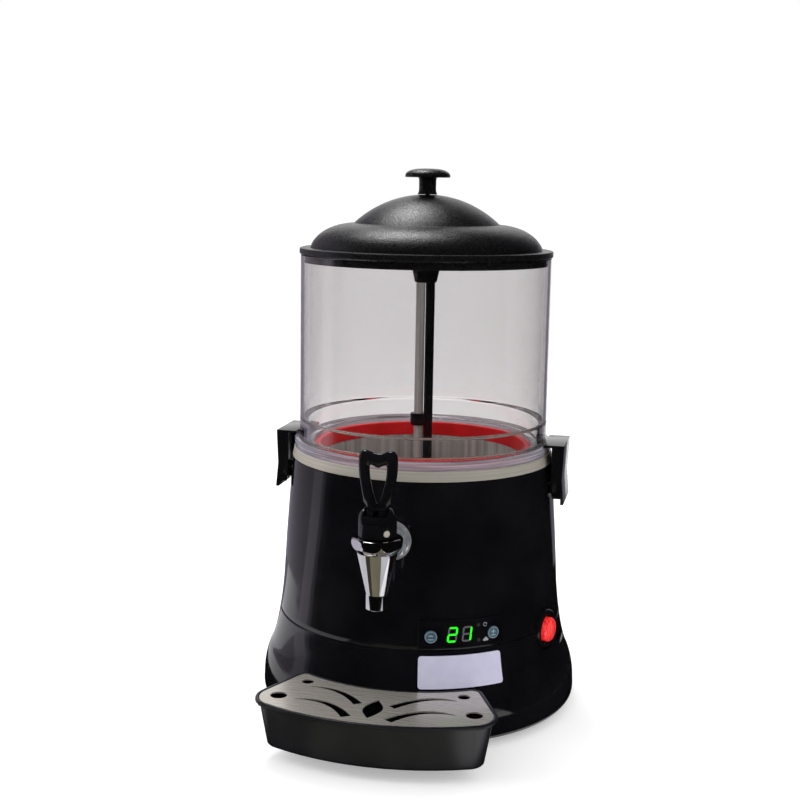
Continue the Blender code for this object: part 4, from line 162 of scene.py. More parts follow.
# The same at the outside of the bowl's foot flange, with painted reflections: lilac grey, half clear, in bands round
# the bowl
FLANGE_PAINTED_REFLECTIONS = layered("flange_painted_reflections", ("#7c7983", "#b2adb7"), 12.0, 4.0, (0.12, 0.3), 0.01, (8.0, 8.0, 0.16),
                 Transmission_Weight=0.3, IOR=1.585)
# Pressed silicone rubber of the seals: bright red, soft satin, slightly see-through at its edges
SILICONE = layered("red_silicone", ("#ea1a20", "#d01016"), 22.0, 1.4, (0.34, 0.5), 0.01, IOR=1.42,
                   Subsurface_Weight=0.15, Subsurface_Scale=0.002, Sheen_Weight=0.15, Sheen_Roughness=0.4)
# Brushed stainless of the trim ring: warm grey with lines round the machine. Real brush lines are
# 0.05 mm wide; 0.35 mm is the finest that shows in the render
TRIM_STEEL = layered("ring_brushed_steel", ("#bfb9ad", "#cdc7bc"), 0.8, 0.35, (0.35, 0.45), 0.004,
                     (200.0, 200.0, 1.0), Metallic=0.45)
# Brushed stainless of the grille: warm grey, lines across the machine, drawn coarse as on the ring
GRILLE_STEEL = layered("plate_brushed_steel", ("#c3bcb3", "#cec8c0"), 0.9, 0.35, (0.22, 0.34), 0.004,
                       (120.0, 1.0, 1.0), Metallic=0.6)
# Drawn stainless of the pan and the rod: upright drawing marks, dulled by washing to a grey of its own
PAN_STEEL = layered("drawn_pan_steel", ("#aba6a2", "#dcd8d3"), 4.0, 1.3, (0.28, 0.4), 0.006, (1.0, 1.0, 60.0),
                    Metallic=0.4)
# Ground stainless of pins, shafts and screws: even grey with short lines along the part
PIN_STEEL = layered("ground_pin_steel", ("#b9b7b4", "#d6d4d1"), 1.2, 0.6, (0.14, 0.26), 0.006, (1.0, 12.0, 1.0),
                    Metallic=1.0)
# Chrome plating on polished brass: a hard bright mirror with faint wipe marks and slight waviness
CHROME = layered("polished_chrome", ("#c9c9cd", "#d8d8dc"), 9.0, 8.0, (0.02, 0.06), 0.006, (1.0, 1.0, 2.0),
                 Metallic=1.0)
# The same plating on satin-blasted brass, as on the rosette and its nut: softer, with a grey of its own
SATIN_CHROME = layered("satin_chrome", ("#b3b6bb", "#c9ccd1"), 6.0, 0.8, (0.1, 0.2), 0.004, Metallic=0.65)
# Zinc-plated sheet: dull grey with a cloudy spangle
ZINC = layered("zinc_plated_sheet", ("#96989c", "#b8babd"), 7.0, 1.6, (0.34, 0.52), 0.01, Metallic=1.0)
# Die-cast aluminium: pale grey, faintly grainy skin
ALUMINIUM = layered("cast_aluminium", ("#a2a3a5", "#c4c5c6"), 4.0, 0.9, (0.36, 0.5), 0.02, Metallic=1.0)
# Moulded nitrile rubber of the feet: matt black with a dusty bloom
RUBBER = layered("moulded_rubber", ("#111111", "#262525"), 3.0, 1.2, (0.65, 0.85), 0.04, IOR=1.5,
                 Sheen_Weight=0.2, Sheen_Roughness=0.6)
# Lacquered aluminium of the bare plate: cool lavender white, very smooth, faintly mottled
PLATE = layered("white_lacquer", ("#cecce5", "#d3d1e8"), 9.0, 1.2, (0.28, 0.36), 0.003, Coat_Weight=0.4,
                Coat_Roughness=0.12)
# Screen-printed polyester film over the display: deep black gloss with a fine orange peel
FILM = layered("printed_film", ("#07070a", "#0d0c11"), 20.0, 1.2, (0.1, 0.2), 0.003, IOR=1.57)
# Blue-grey printed domes of the two keys: satin, with two tones that drift
KEYS = layered("key_dome_film", ("#2c4351", "#43606f"), 2.2, 0.8, (0.35, 0.5), 0.01, IOR=1.5)
# Screen-printed ink of the key marks: pale, matt, a little uneven
INK = layered("pale_print", ("#8fa6b4", "#a9bcc7"), 0.6, 0.4, (0.5, 0.7), 0.002, Specular_IOR_Level=0.2)
# The same ink in grey, for the marks beside the display
DIM_INK = layered("grey_print", ("#8d9096", "#a6a9ae"), 0.6, 0.4, (0.5, 0.7), 0.002, Specular_IOR_Level=0.2)
# Unlit lamp windows in the film: dark, faintly red
DIM_LAMP = layered("unlit_lamp", ("#241f24", "#322c32"), 0.6, 0.4, (0.3, 0.45), 0.002, Specular_IOR_Level=0.3)
# Light-emitting display bar: saturated green that glows evenly
LIT = layered("lit_green_segment", ("#04d404", "#18f018"), 0.8, 0.8, (0.35, 0.45), 0.001, Emission_Strength=0.9,
              Emission_Color=srgb("#00ff00"))
# Unlit display bar: grey plastic behind the smoked film
UNLIT = layered("unlit_segment", ("#514e55", "#66636a"), 0.7, 0.5, (0.35, 0.5), 0.001, IOR=1.5)
# Lit red polycarbonate of the switch button: glossy, glowing from inside, with painted streaks of light, upright
# bands from dark red to pale pink
LENS = layered("red_lens_painted_streaks", ("#a80713", "#ff6a66"), 2.4, 2.0, (0.06, 0.12), 0.03, (0.7, 0.7, 8.0), IOR=1.58,
               Transmission_Weight=0.25, Coat_Weight=0.5, Coat_Roughness=0.04, Emission_Strength=0.35,
               Emission_Color=srgb("#ff1a1f"))
# Matt ivory on the cap of the fork's screw
IVORY = layered("pale_ivory_matt", ("#aaa698", "#b7b3a6"), 3.0, 0.8, (0.45, 0.6), 0.01, IOR=1.5)
# Glass-epoxy board with solder mask: green, satin, with darker tracks
BOARD = layered("solder_mask_green", ("#174b2b", "#27743f"), 2.4, 1.5, (0.3, 0.5), 0.03, (1.0, 6.0, 1.0), IOR=1.55)
# Turned brass of the nut inside: warm yellow with fine turning lines
BRASS = layered("turned_brass", ("#b8903f", "#d8b565"), 0.5, 0.4, (0.22, 0.38), 0.005, (1.0, 20.0, 1.0), Metallic=1.0)


# ---------------------------------------------------------------- shape trees

def new_tree(name, sockets):
    """Return an empty shape tree with its named inputs, its input node and its output node."""
    tree = bpy.data.node_groups.new(name, "GeometryNodeTree")
    tree.interface.new_socket("Geometry", in_out="INPUT", socket_type="NodeSocketGeometry")
    for label, kind in sockets:
        tree.interface.new_socket(label, in_out="INPUT", socket_type="NodeSocket" + kind)
    tree.interface.new_socket("Finish", in_out="INPUT", socket_type="NodeSocketMaterial")
    tree.interface.new_socket("Geometry", in_out="OUTPUT", socket_type="NodeSocketGeometry")
    return tree, add_node(tree, "NodeGroupInput"), add_node(tree, "NodeGroupOutput")


def close_tree(tree, given, leaving, source):
    """End a shape tree with real geometry and its finish."""
    real = add_node(tree, "GeometryNodeRealizeInstances", (), {0: source})
    dressed = add_node(tree, "GeometryNodeSetMaterial", (), {"Geometry": real.outputs[0],
                                                             "Material": given.outputs["Finish"]})
    tree.links.new(dressed.outputs[0], leaving.inputs[0])


def turning_tree():
    """Shape tree that turns a profile, given as points in the XZ plane, about the Z axis."""
    tree, given, leaving = new_tree("turned_piece", [("Profile points", "Int"), ("Steps", "Int"),
                                                     ("Start angle", "Float"), ("End angle", "Float")])
    rows = add_node(tree, "ShaderNodeMath", {1: 1.0}, {0: given.outputs["Steps"]}, operation="ADD")
    sheet = add_node(tree, "GeometryNodeMeshGrid", {"Size X": 1.0, "Size Y": 1.0},
                     {"Vertices X": given.outputs["Profile points"], "Vertices Y": rows.outputs[0]})
    spot = add_node(tree, "ShaderNodeSeparateXYZ", (), {0: add_node(tree, "GeometryNodeInputPosition").outputs[0]})
    last = add_node(tree, "ShaderNodeMath", {1: 1.0}, {0: given.outputs["Profile points"]}, operation="SUBTRACT")
    across = add_node(tree, "ShaderNodeMath", {1: 0.5}, {0: spot.outputs["X"]}, operation="ADD")
    number = add_node(tree, "ShaderNodeMath", (), {0: across.outputs[0], 1: last.outputs[0]}, operation="MULTIPLY")
    whole = add_node(tree, "ShaderNodeMath", (), {0: number.outputs[0]}, operation="ROUND")
    profile = add_node(tree, "GeometryNodeSampleIndex", (), {"Geometry": given.outputs["Geometry"],
                       "Value": add_node(tree, "GeometryNodeInputPosition").outputs[0], "Index": whole.outputs[0]},
                       data_type="FLOAT_VECTOR", domain="POINT")
    drawn = add_node(tree, "ShaderNodeSeparateXYZ", (), {0: profile.outputs["Value"]})
    sweep = add_node(tree, "ShaderNodeMapRange", {"From Min": -0.5, "From Max": 0.5},
                     {"Value": spot.outputs["Y"], "To Min": given.outputs["Start angle"],
                      "To Max": given.outputs["End angle"]})
    sine = add_node(tree, "ShaderNodeMath", (), {0: sweep.outputs[0]}, operation="SINE")
    cosine = add_node(tree, "ShaderNodeMath", (), {0: sweep.outputs[0]}, operation="COSINE")
    x = add_node(tree, "ShaderNodeMath", (), {0: drawn.outputs["X"], 1: sine.outputs[0]}, operation="MULTIPLY")
    depth = add_node(tree, "ShaderNodeMath", (), {0: drawn.outputs["X"], 1: cosine.outputs[0]}, operation="MULTIPLY")
    y = add_node(tree, "ShaderNodeMath", {1: -1.0}, {0: depth.outputs[0]}, operation="MULTIPLY")
    point = add_node(tree, "ShaderNodeCombineXYZ", (),
                     {"X": x.outputs[0], "Y": y.outputs[0], "Z": drawn.outputs["Z"]})
    bent = add_node(tree, "GeometryNodeSetPosition", (), {"Geometry": sheet.outputs["Mesh"],
                                                          "Position": point.outputs[0]})
    merged = add_node(tree, "GeometryNodeMergeByDistance", {"Distance": 0.001}, {"Geometry": bent.outputs[0]})
    close_tree(tree, given, leaving, merged.outputs[0])
    return tree


def placing_tree():
    """Shape tree that sets one shape at each given point, turned and drawn out as the point says."""
    tree, given, leaving = new_tree("set_out_pieces", [("Shape", "Object")])
    shape = add_node(tree, "GeometryNodeObjectInfo", {"As Instance": True}, {"Object": given.outputs["Shape"]})
    turn = add_node(tree, "GeometryNodeInputNamedAttribute", {"Name": "turn"}, data_type="FLOAT")
    length = add_node(tree, "GeometryNodeInputNamedAttribute", {"Name": "length"}, data_type="FLOAT")
    spin = add_node(tree, "ShaderNodeCombineXYZ", (), {"Z": turn.outputs["Attribute"]})
    size = add_node(tree, "ShaderNodeCombineXYZ", {"Y": 1.0, "Z": 1.0}, {"X": length.outputs["Attribute"]})
    placed = add_node(tree, "GeometryNodeInstanceOnPoints", (),
                      {"Points": given.outputs["Geometry"], "Instance": shape.outputs["Geometry"],
                       "Rotation": spin.outputs[0], "Scale": size.outputs[0]})
    close_tree(tree, given, leaving, placed.outputs[0])
    return tree


def row_tree():
    """Shape tree that repeats one shape in an upright row with an even pitch."""
    tree, given, leaving = new_tree("row_of_pieces", [("Shape", "Object"), ("Count", "Int"), ("Pitch", "Float"),
                                                      ("Lowest", "Float")])
    start = add_node(tree, "ShaderNodeCombineXYZ", (), {"Z": given.outputs["Lowest"]})
    step = add_node(tree, "ShaderNodeCombineXYZ", (), {"Z": given.outputs["Pitch"]})
    line = add_node(tree, "GeometryNodeMeshLine", (), {"Count": given.outputs["Count"],
                    "Start Location": start.outputs[0], "Offset": step.outputs[0]})
    shape = add_node(tree, "GeometryNodeObjectInfo", {"As Instance": True}, {"Object": given.outputs["Shape"]})
    placed = add_node(tree, "GeometryNodeInstanceOnPoints", (), {"Points": line.outputs[0],
                                                                 "Instance": shape.outputs["Geometry"]})
    close_tree(tree, given, leaving, placed.outputs[0])
    return tree


TURNING = turning_tree()
PLACING = placing_tree()
ROW = row_tree()


# ---------------------------------------------------------------- shapes

def added(name, data):
    """Put an object with its data in the scene."""
    made = bpy.data.objects.new(name, data)
    bpy.context.scene.collection.objects.link(made)
    return made


def held(shape):
    """Put a shape in a scratch object."""
    mesh = bpy.data.meshes.new("held")
    shape.to_mesh(mesh)
    shape.free()
    return added("held", mesh)


def taken(holder, *others):
    """Return what a scratch object's modifiers make, and remove it and its helpers."""
    graph = bpy.context.evaluated_depsgraph_get()
    made = bpy.data.meshes.new_from_object(holder.evaluated_get(graph), depsgraph=graph)
    shape = bmesh.new()
    shape.from_mesh(made)
    bpy.data.meshes.remove(made)
    for used in (holder, *others):
        mesh = used.data
        bpy.data.objects.remove(used, do_unlink=True)
        bpy.data.meshes.remove(mesh)
    return shape


def made_by(tree, points, values, turns=None, lengths=None, helpers=()):
    """Run a shape tree over some starting points and return the shape it makes."""
    mesh = bpy.data.meshes.new("points")
    mesh.from_pydata(points, [], [])
    for label, numbers in (("turn", turns), ("length", lengths)):
        if numbers is not None:
            mesh.attributes.new(label, "FLOAT", "POINT").data.foreach_set("value", numbers)
    holder = added("points", mesh)
    step = holder.modifiers.new("shape", "NODES")
    step.node_group = tree
    for item in tree.interface.items_tree:
        if item.in_out == "INPUT" and item.name in values:
            step[item.identifier] = values[item.name]
    return taken(holder, *helpers)


def supported(path, closed=True, near=0.3, long=3.0):
    """Add points close to both ends of each long side, so that smooth shading turns only at its corners."""
    whole = []
    for start, end in zip(path, path[1:] + path[:1]):
        whole.append(start)
        length = math.dist(start, end)
        if length > long and (closed or end is not path[0]):
            for share in (near / length, 1.0 - near / length):
                whole.append(tuple(a + (b - a) * share for a, b in zip(start, end)))
    return whole


def turned(profile, steps=ROUND, start=0.0, end=360.0):
    """Turn a closed profile of (radius, height) points about the axis."""
    points = [(radius, 0.0, height) for radius, height in supported(profile) + profile[:1]]
    shape = made_by(TURNING, points, {"Profile points": len(points), "Steps": steps,
                                      "Start angle": math.radians(start), "End angle": math.radians(end)})
    bmesh.ops.remove_doubles(shape, verts=shape.verts, dist=0.001)
    bmesh.ops.dissolve_degenerate(shape, edges=shape.edges, dist=0.0005)
    if end - start < 360.0:
        bmesh.ops.holes_fill(shape, edges=[edge for edge in shape.edges if edge.is_boundary])
    bmesh.ops.recalc_face_normals(shape, faces=shape.faces)
    return shape


def set_out(shape, places, turns=None, lengths=None):
    """Repeat a shape at places, each turned and drawn out by its own amount where amounts are given."""
    helper = held(shape)
    return made_by(PLACING, places, {"Shape": helper}, turns or [0.0] * len(places), lengths or [1.0] * len(places),
                   (helper,))


def in_a_row(shape, count, pitch, lowest):
    """Repeat a shape upwards with an even pitch."""
    helper = held(shape)
    return made_by(ROW, [(0.0, 0.0, 0.0)], {"Shape": helper, "Count": count, "Pitch": pitch, "Lowest": lowest},
                   helpers=(helper,))


def carved(shape, tool, operation="DIFFERENCE"):
    """Cut a tool from a closed shape, or join or intersect the two."""
    for solid in (shape, tool):
        bmesh.ops.recalc_face_normals(solid, faces=solid.faces)
    body, helper = held(shape), held(tool)
    step = body.modifiers.new("carve", "BOOLEAN")
    step.operation = operation
    step.solver = "EXACT"
    step.object = helper
    return taken(body, helper)


def softened(shape, width, segments=2, angle=35.0):
    """Round the sharp edges of a shape."""
    body = held(shape)
    step = body.modifiers.new("soften", "BEVEL")
    step.limit_method = "ANGLE"
    step.angle_limit = math.radians(angle)
    step.width = width
    step.segments = segments
    return taken(body)


def bridge(shape, rows, closed=False):
    """Span rings of equally many corners with faces, each ring to the next."""
    for lower, upper in zip(rows, rows[1:] + rows[:1] * closed):
        for index in range(len(lower)):
            after = (index + 1) % len(lower)
            shape.faces.new((lower[index], lower[after], upper[after], upper[index]))


def loft(rings):
    """Join rings of equally many points, and cap the first and the last."""
    shape = bmesh.new()
    rows = [[shape.verts.new(point) for point in ring] for ring in rings]
    bridge(shape, rows)
    shape.faces.new(list(reversed(rows[0])))
    shape.faces.new(rows[-1])
    return shape


def prism(outline, low, high):
    """Raise an outline from one height to another."""
    return loft([[(x, y, low) for x, y in outline], [(x, y, high) for x, y in outline]])


def side_prism(outline, low, high):
    """Stretch an outline of (y, z) points along X."""
    return loft([[(low, y, z) for y, z in outline], [(high, y, z) for y, z in outline]])


def box(low, high):
    """Return a box between two opposite corners."""
    outline = [(low[0], low[1]), (high[0], low[1]), (high[0], high[1]), (low[0], high[1])]
    return prism(outline, low[2], high[2])


def joined(shapes):
    """Put several separate shapes into one."""
    whole = bmesh.new()
    for shape in shapes:
        mesh = bpy.data.meshes.new("part")
        bmesh.ops.recalc_face_normals(shape, faces=shape.faces)
        shape.to_mesh(mesh)
        shape.free()
        whole.from_mesh(mesh)
        bpy.data.meshes.remove(mesh)
    return whole


def moved(shape, matrix):
    """Return the shape after a transform."""
    shape.transform(matrix)
    return shape


def polar(angle, radius, height):
    """Return the point at an angle from the front."""
    turn = math.radians(angle)
    return Vector((radius * math.sin(turn), -radius * math.cos(turn), height))


def outward(angle, height):
    """Return the transform that turns local Z outwards from the machine at an angle."""
    turn = math.radians(angle)
    columns = ((math.cos(turn), math.sin(turn), 0.0), (0.0, 0.0, 1.0), (math.sin(turn), -math.cos(turn), 0.0))
    matrix = Matrix(columns).transposed().to_4x4()
    matrix.translation = (0.0, 0.0, height)
    return matrix


def drill(radius, near, far, angle, height, steps=FINE):
    """Return a round tool that points outwards at an angle, from one distance to another."""
    return moved(turned([(0.0, near), (radius, near), (radius, far), (0.0, far)], steps), outward(angle, height))


def many_sided(sides, reach, first=0.0):
    """Return an even outline with this many corners, at this distance from the middle."""
    return [tuple(polar(first + 360.0 / sides * count, reach, 0.0)[:2]) for count in range(sides)]


def spline(points, steps=6):
    """Return a smooth open path through points in a plane."""
    path = []
    padded = [points[0]] + points + [points[-1]]
    for before, start, end, after in zip(padded, padded[1:], padded[2:], padded[3:]):
        for count in range(steps):
            t = count / steps
            path.append(tuple(0.5 * (2.0 * b + (c - a) * t + (2.0 * a - 5.0 * b + 4.0 * c - d) * t * t
                                     + (3.0 * b - a - 3.0 * c + d) * t ** 3)
                              for a, b, c, d in zip(before, start, end, after)))
    return path + [points[-1]]


def smooth(table, place):
    """Read a table of (place, value) pairs on a smooth curve."""
    steps = [(high - low) / (end - start) for (start, low), (end, high) in zip(table, table[1:])]
    slopes = [steps[0]] + [(first + second) / 2.0 for first, second in zip(steps, steps[1:])] + [steps[-1]]
    index = max(count for count in range(len(table) - 1) if table[count][0] <= place or count == 0)
    (start, low), (end, high) = table[index], table[index + 1]
    run = end - start
    t = (place - start) / run
    return ((1.0 + 2.0 * t) * (1.0 - t) ** 2 * low + t * (1.0 - t) ** 2 * run * slopes[index]
            + t * t * (3.0 - 2.0 * t) * high + t * t * (t - 1.0) * run * slopes[index + 1])


def skirt_radius(height):
    """Return the base skirt's outer radius at a height."""
    return SKIRT_TOP_RADIUS + SKIRT_FLARE * smooth(SKIRT_SHARES, (height - SKIRT_FOOT) / SKIRT_TALL)


def shell_radius(height):
    """Return the upper casing's outer radius at a height."""
    return SHELL_TOP_RADIUS + SHELL_FLARE * smooth(SHELL_SHARES, (height - SHELL_FOOT) / SHELL_TALL)


def arc(centre, radius, start, end, steps=6):
    """Return points on a circle in a plane, between two angles in degrees."""
    turns = [math.radians(start + (end - start) * count / steps) for count in range(steps + 1)]
    return [(centre[0] + radius * math.cos(turn), centre[1] + radius * math.sin(turn)) for turn in turns]


def rounded_box(half_width, half_height, radius, middle=(0.0, 0.0)):
    """Return a rectangle's outline with round corners."""
    outline = []
    for side_x, side_y, start in ((1, -1, -90.0), (1, 1, 0.0), (-1, 1, 90.0), (-1, -1, 180.0)):
        corner = (middle[0] + side_x * (half_width - radius), middle[1] + side_y * (half_height - radius))
        outline += arc(corner, radius, start, start + 90.0)
    return outline


def raised(outlines, low, high, edge=0.0):
    """Make flat plates from outlines, from one level to another, with rounded upper edges."""
    shapes = []
    for outline in outlines:
        shape = prism(outline, low, high)
        bmesh.ops.recalc_face_normals(shape, faces=shape.faces)
        if edge:
            rim = [item for item in shape.edges if all(vert.co.z == high for vert in item.verts)]
            bmesh.ops.bevel(shape, geom=rim, offset=edge, segments=3, profile=0.5, affect="EDGES")
        shapes.append(shape)
    return joined(shapes)


def wrapped(shape, radius_at, middle, height, step=1.5):
    """Bend a flat shape (x across, y up, z outwards) round the casing about a place on it."""
    span = max(max(abs(vert.co.x), abs(vert.co.y)) for vert in shape.verts)
    cuts = int(span / step) + 1
    for axis in (Vector((1.0, 0.0, 0.0)), Vector((0.0, 1.0, 0.0))):
        for count in range(-cuts, cuts + 1):
            bmesh.ops.bisect_plane(shape, geom=shape.verts[:] + shape.edges[:] + shape.faces[:],
                                   plane_co=axis * count * step, plane_no=axis)
    reach = radius_at(height)
    for vert in shape.verts:
        x, y, out = vert.co
        vert.co = polar(middle + math.degrees(x / reach), radius_at(height + y) + out, height + y)
    bmesh.ops.recalc_face_normals(shape, faces=shape.faces)
    return shape


def cad_shape(node):
    """Return a merged copy of a CAD node, in millimetres about the machine's axis."""
    whole = bmesh.new()
    whole.from_mesh(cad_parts[node].data)
    bmesh.ops.transform(whole, matrix=TO_FRAME.inverted(), verts=whole.verts)
    bmesh.ops.remove_doubles(whole, verts=whole.verts, dist=0.002)
    bmesh.ops.dissolve_limit(whole, angle_limit=math.radians(1.0), verts=whole.verts, edges=whole.edges)
    bmesh.ops.recalc_face_normals(whole, faces=whole.faces)
    return whole


def piece(name, shape, finish, body, *nodes, sharp=35.0):
    """Place a shape in the frame as a piece that rides on a body and stands for CAD nodes."""
    bmesh.ops.remove_doubles(shape, verts=shape.verts, dist=0.001)
    shape.transform(TO_FRAME)
    mesh = bpy.data.meshes.new(name)
    shape.to_mesh(mesh)
    shape.free()
    mesh.shade_smooth()
    mesh.set_sharp_from_angle(angle=math.radians(sharp))
    mesh.materials.clear()
    mesh.materials.append(finish)
    mesh.polygons.foreach_set("material_index", [0] * len(mesh.polygons))
    made = added(name, mesh)
    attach(made, body)
    if nodes:
        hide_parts(*nodes)
    return made


# ---------------------------------------------------------------- casing

def build_skirt():
    """Flared lower casing: side slots, switch hole, pockets for the tray's lugs, pad of the mains inlet."""
    wall, floor = 3.0, 9.9
    heights = [SKIRT_FOOT + 74.4 * count / 72 for count in range(73)]
    outer = [(skirt_radius(height), height) for height in heights]
    inner = [(skirt_radius(height) - wall, height) for height in heights[3:-6:4]]
    profile = outer + [(125.4, 82.3), (121.4, 82.3), (121.4, 88.3), (119.2, 88.3), (119.2, 76.3)]
    profile += inner[::-1] + [(skirt_radius(floor) - wall, floor), (88.0, floor), (88.0, SKIRT_FOOT)]
    shape = turned(profile)
    slot = side_prism(rounded_box(19.0, 4.25, 1.6, (0.0, 64.8)), -140.0, 140.0)
    pockets = [box((side * LUG_ASIDE - 8.6, -146.0, 17.9), (side * LUG_ASIDE + 8.6, -126.0, 24.7))
               for side in (-1, 1)]
    shape = carved(shape, joined([slot, switch_hole()] + pockets))
    shape = carved(shape, box((-16.9, 126.8, 27.7), (16.9, 139.5, 54.3)), "UNION")
    shape = carved(shape, box((-14.1, 121.4, 30.5), (14.1, 139.8, 51.5)))
    piece("casing_skirt", shape, CASING, "casing", "base_skirt")


def shell_profile():
    """Return the upper casing's closed section."""
    wall = 2.8
    heights = [SHELL_FOOT + SHELL_TALL * count / 64 for count in range(65)]
    outer = [(shell_radius(SHELL_FOOT) - 0.4, SHELL_FOOT)]
    outer += [(shell_radius(height), height) for height in heights[1:]]
    inner = [(shell_radius(height) - wall, height) for height in heights[:-4:4]]
    return outer + [(112.2, 219.6), (112.2, 218.5), (104.0, 218.5), (104.0, 215.5), (112.3, 215.5)] + inner[::-1]


def switch_hole():
    """Return the round tool that cuts the switch's hole."""
    return drill(17.3, 104.0, 140.0, SWITCH_ANGLE, SWITCH_HEIGHT)


def build_shells():
    """Front and rear halves of the upper casing, with the rear vents and the latch ears."""
    front_steps, rear_steps = 100, 140
    front = turned(shell_profile(), front_steps, -SEAM + HALF_GAP, SEAM - HALF_GAP)
    bore = drill(8.6, 90.0, 126.0, 0.0, OUTLET, SMALL)
    piece("casing_front", carved(front, joined([switch_hole(), bore])), CASING, "casing", "front_shell")
    rear = turned(shell_profile(), rear_steps, SEAM + HALF_GAP, 360.0 - SEAM - HALF_GAP)
    vent = moved(prism(rounded_box(23.0, 1.75, 1.7), 104.0, 127.0), outward(180.0, 0.0))
    rear = carved(carved(rear, in_a_row(vent, 5, 9.0, 119.75)), switch_hole())
    ears = []
    for side in (-1, 1):
        outline = [(side * 113.5, 194.0)] + [(side * x, z) for x, z in arc((120.3, 200.0), 3.0, -80.0, 90.0, 10)]
        outline.append((side * 113.5, 203.0))
        for end in (-14.5, 14.5):
            ears.append(loft([[(x, face, z) for x, z in outline] for face in (end - 1.5, end + 1.5)]))
    piece("casing_rear", joined([rear] + ears), CASING, "casing", "rear_shell")


def build_feet():
    """Four rubber feet with a chamfered tread."""
    tread = turned([(0.0, 0.0), (7.5, 0.0), (8.0, 0.5), (9.4, 0.5), (9.8, 0.0), (10.4, 0.2), (11.0, 1.2), (11.0, 6.6),
                    (10.6, 7.2), (3.0, 7.2), (3.0, 13.0), (0.0, 13.0)], SMALL)
    places = [polar(angle, 103.0, 0.0) for angle in (40.0, 140.0, 220.0, 320.0)]
    piece("rubber_feet", set_out(tread, places), RUBBER, "casing", "foot_front_right", "foot_rear_right",
          "foot_rear_left", "foot_front_left")


def build_base_screws():
    """Cross-slotted screws that hold the closing plate under the machine."""
    head = turned([(0.0, 7.9), (2.6, 8.1), (3.4, 8.9), (3.5, 10.1), (0.0, 10.1)], SMALL)
    for across, along in ((2.0, 0.45), (0.45, 2.0)):
        head = carved(head, box((-across, -along, 7.0), (across, along, 9.1)))
    places = [polar(angle, 80.0, 0.0) for angle in (0.0, 90.0, 180.0, 270.0)]
    piece("plate_screws", set_out(head, places, [0.3, 1.1, 2.0, 0.7]), PIN_STEEL, "casing")


# ---------------------------------------------------------------- bowl, rings and pan

def build_bowl():
    """Clear bowl with rounded rims, an inner ledge and a wide foot flange."""
    profile = [(96.2, 228.3), (112.6, 228.3), (113.2, 228.9), (113.2, 235.3), (112.6, 235.9), (109.8, 235.9),
               (109.2, 236.3), (109.0, 237.0), (109.0, 395.2), (108.4, 395.9), (107.5, 396.0), (106.6, 395.8),
               (106.0, 395.0), (106.0, 255.2), (105.7, 254.6), (105.0, 254.3), (102.2, 253.3), (101.6, 252.9),
               (101.4, 252.2), (101.4, 238.3), (101.1, 237.4), (100.4, 236.8), (96.4, 235.5), (95.7, 234.8),
               (95.7, 228.8)]
    bowl = piece("clear_bowl", turned(profile, BROAD), CLEAR, "casing", "bowl", sharp=50.0)
    # The renderer lets no lamp light through clear plastic, so the bowl's shadow would be far too dark
    bowl.visible_shadow = bowl.visible_diffuse = False
    # The outside of the foot flange takes the finish with painted reflections
    bowl.data.materials.append(FLANGE_PAINTED_REFLECTIONS)
    flange_top, flange_inside = 236.0, 109.5
    to_axis = TO_FRAME.inverted()
    for face in bowl.data.polygons:
        middle = to_axis @ face.center
        if middle.z < flange_top and math.hypot(middle.x, middle.y) > flange_inside:
            face.material_index = 1


def build_rings():
    """Red silicone seal and the brushed trim ring."""
    seal = [(90.3, 220.3), (96.6, 220.3), (97.0, 220.7), (97.0, 227.6), (96.6, 228.0), (95.9, 228.0),
            (95.4, 228.5), (95.3, 229.2), (95.3, 231.3), (95.0, 232.0), (94.3, 232.3), (91.3, 232.3), (90.6, 232.0),
            (90.3, 231.3)]
    piece("red_seal", turned(seal), SILICONE, "casing", "seal_ring")
    trim = [(114.6, 219.9), (115.0, 220.2), (113.6, 227.4), (113.0, 228.0), (97.4, 228.0), (97.4, 226.8),
            (112.3, 226.8), (113.8, 219.9)]
    piece("brushed_trim", turned(trim), TRIM_STEEL, "casing", "trim_ring")


def build_pan():
    """Deep-drawn pan with a rolled rim and its outlet port."""
    inside = arc((82.0, 168.0), 8.0, -90.0, 0.0, 8)
    outside = arc((82.0, 168.0), 9.2, -90.0, 0.0, 8)
    profile = [(11.0, 158.8)] + outside + [(91.2, 218.8), (111.2, 218.8), (111.5, 219.1), (111.5, 219.7),
                                           (111.2, 220.0), (91.0, 220.0), (90.3, 219.7), (90.0, 219.0)]
    profile += inside[::-1] + [(11.0, 160.0)]
    port = drill(5.5, 82.0, 96.0, 0.0, OUTLET, SMALL)
    union = moved(turned([(8.3, 91.0), (11.2, 91.0), (11.2, 98.0), (8.3, 98.0)], SMALL), outward(0.0, OUTLET))
    piece("steel_pan", joined([carved(turned(profile), port), union]), PAN_STEEL, "casing", "product_pan")


# ---------------------------------------------------------------- lid and stirrer

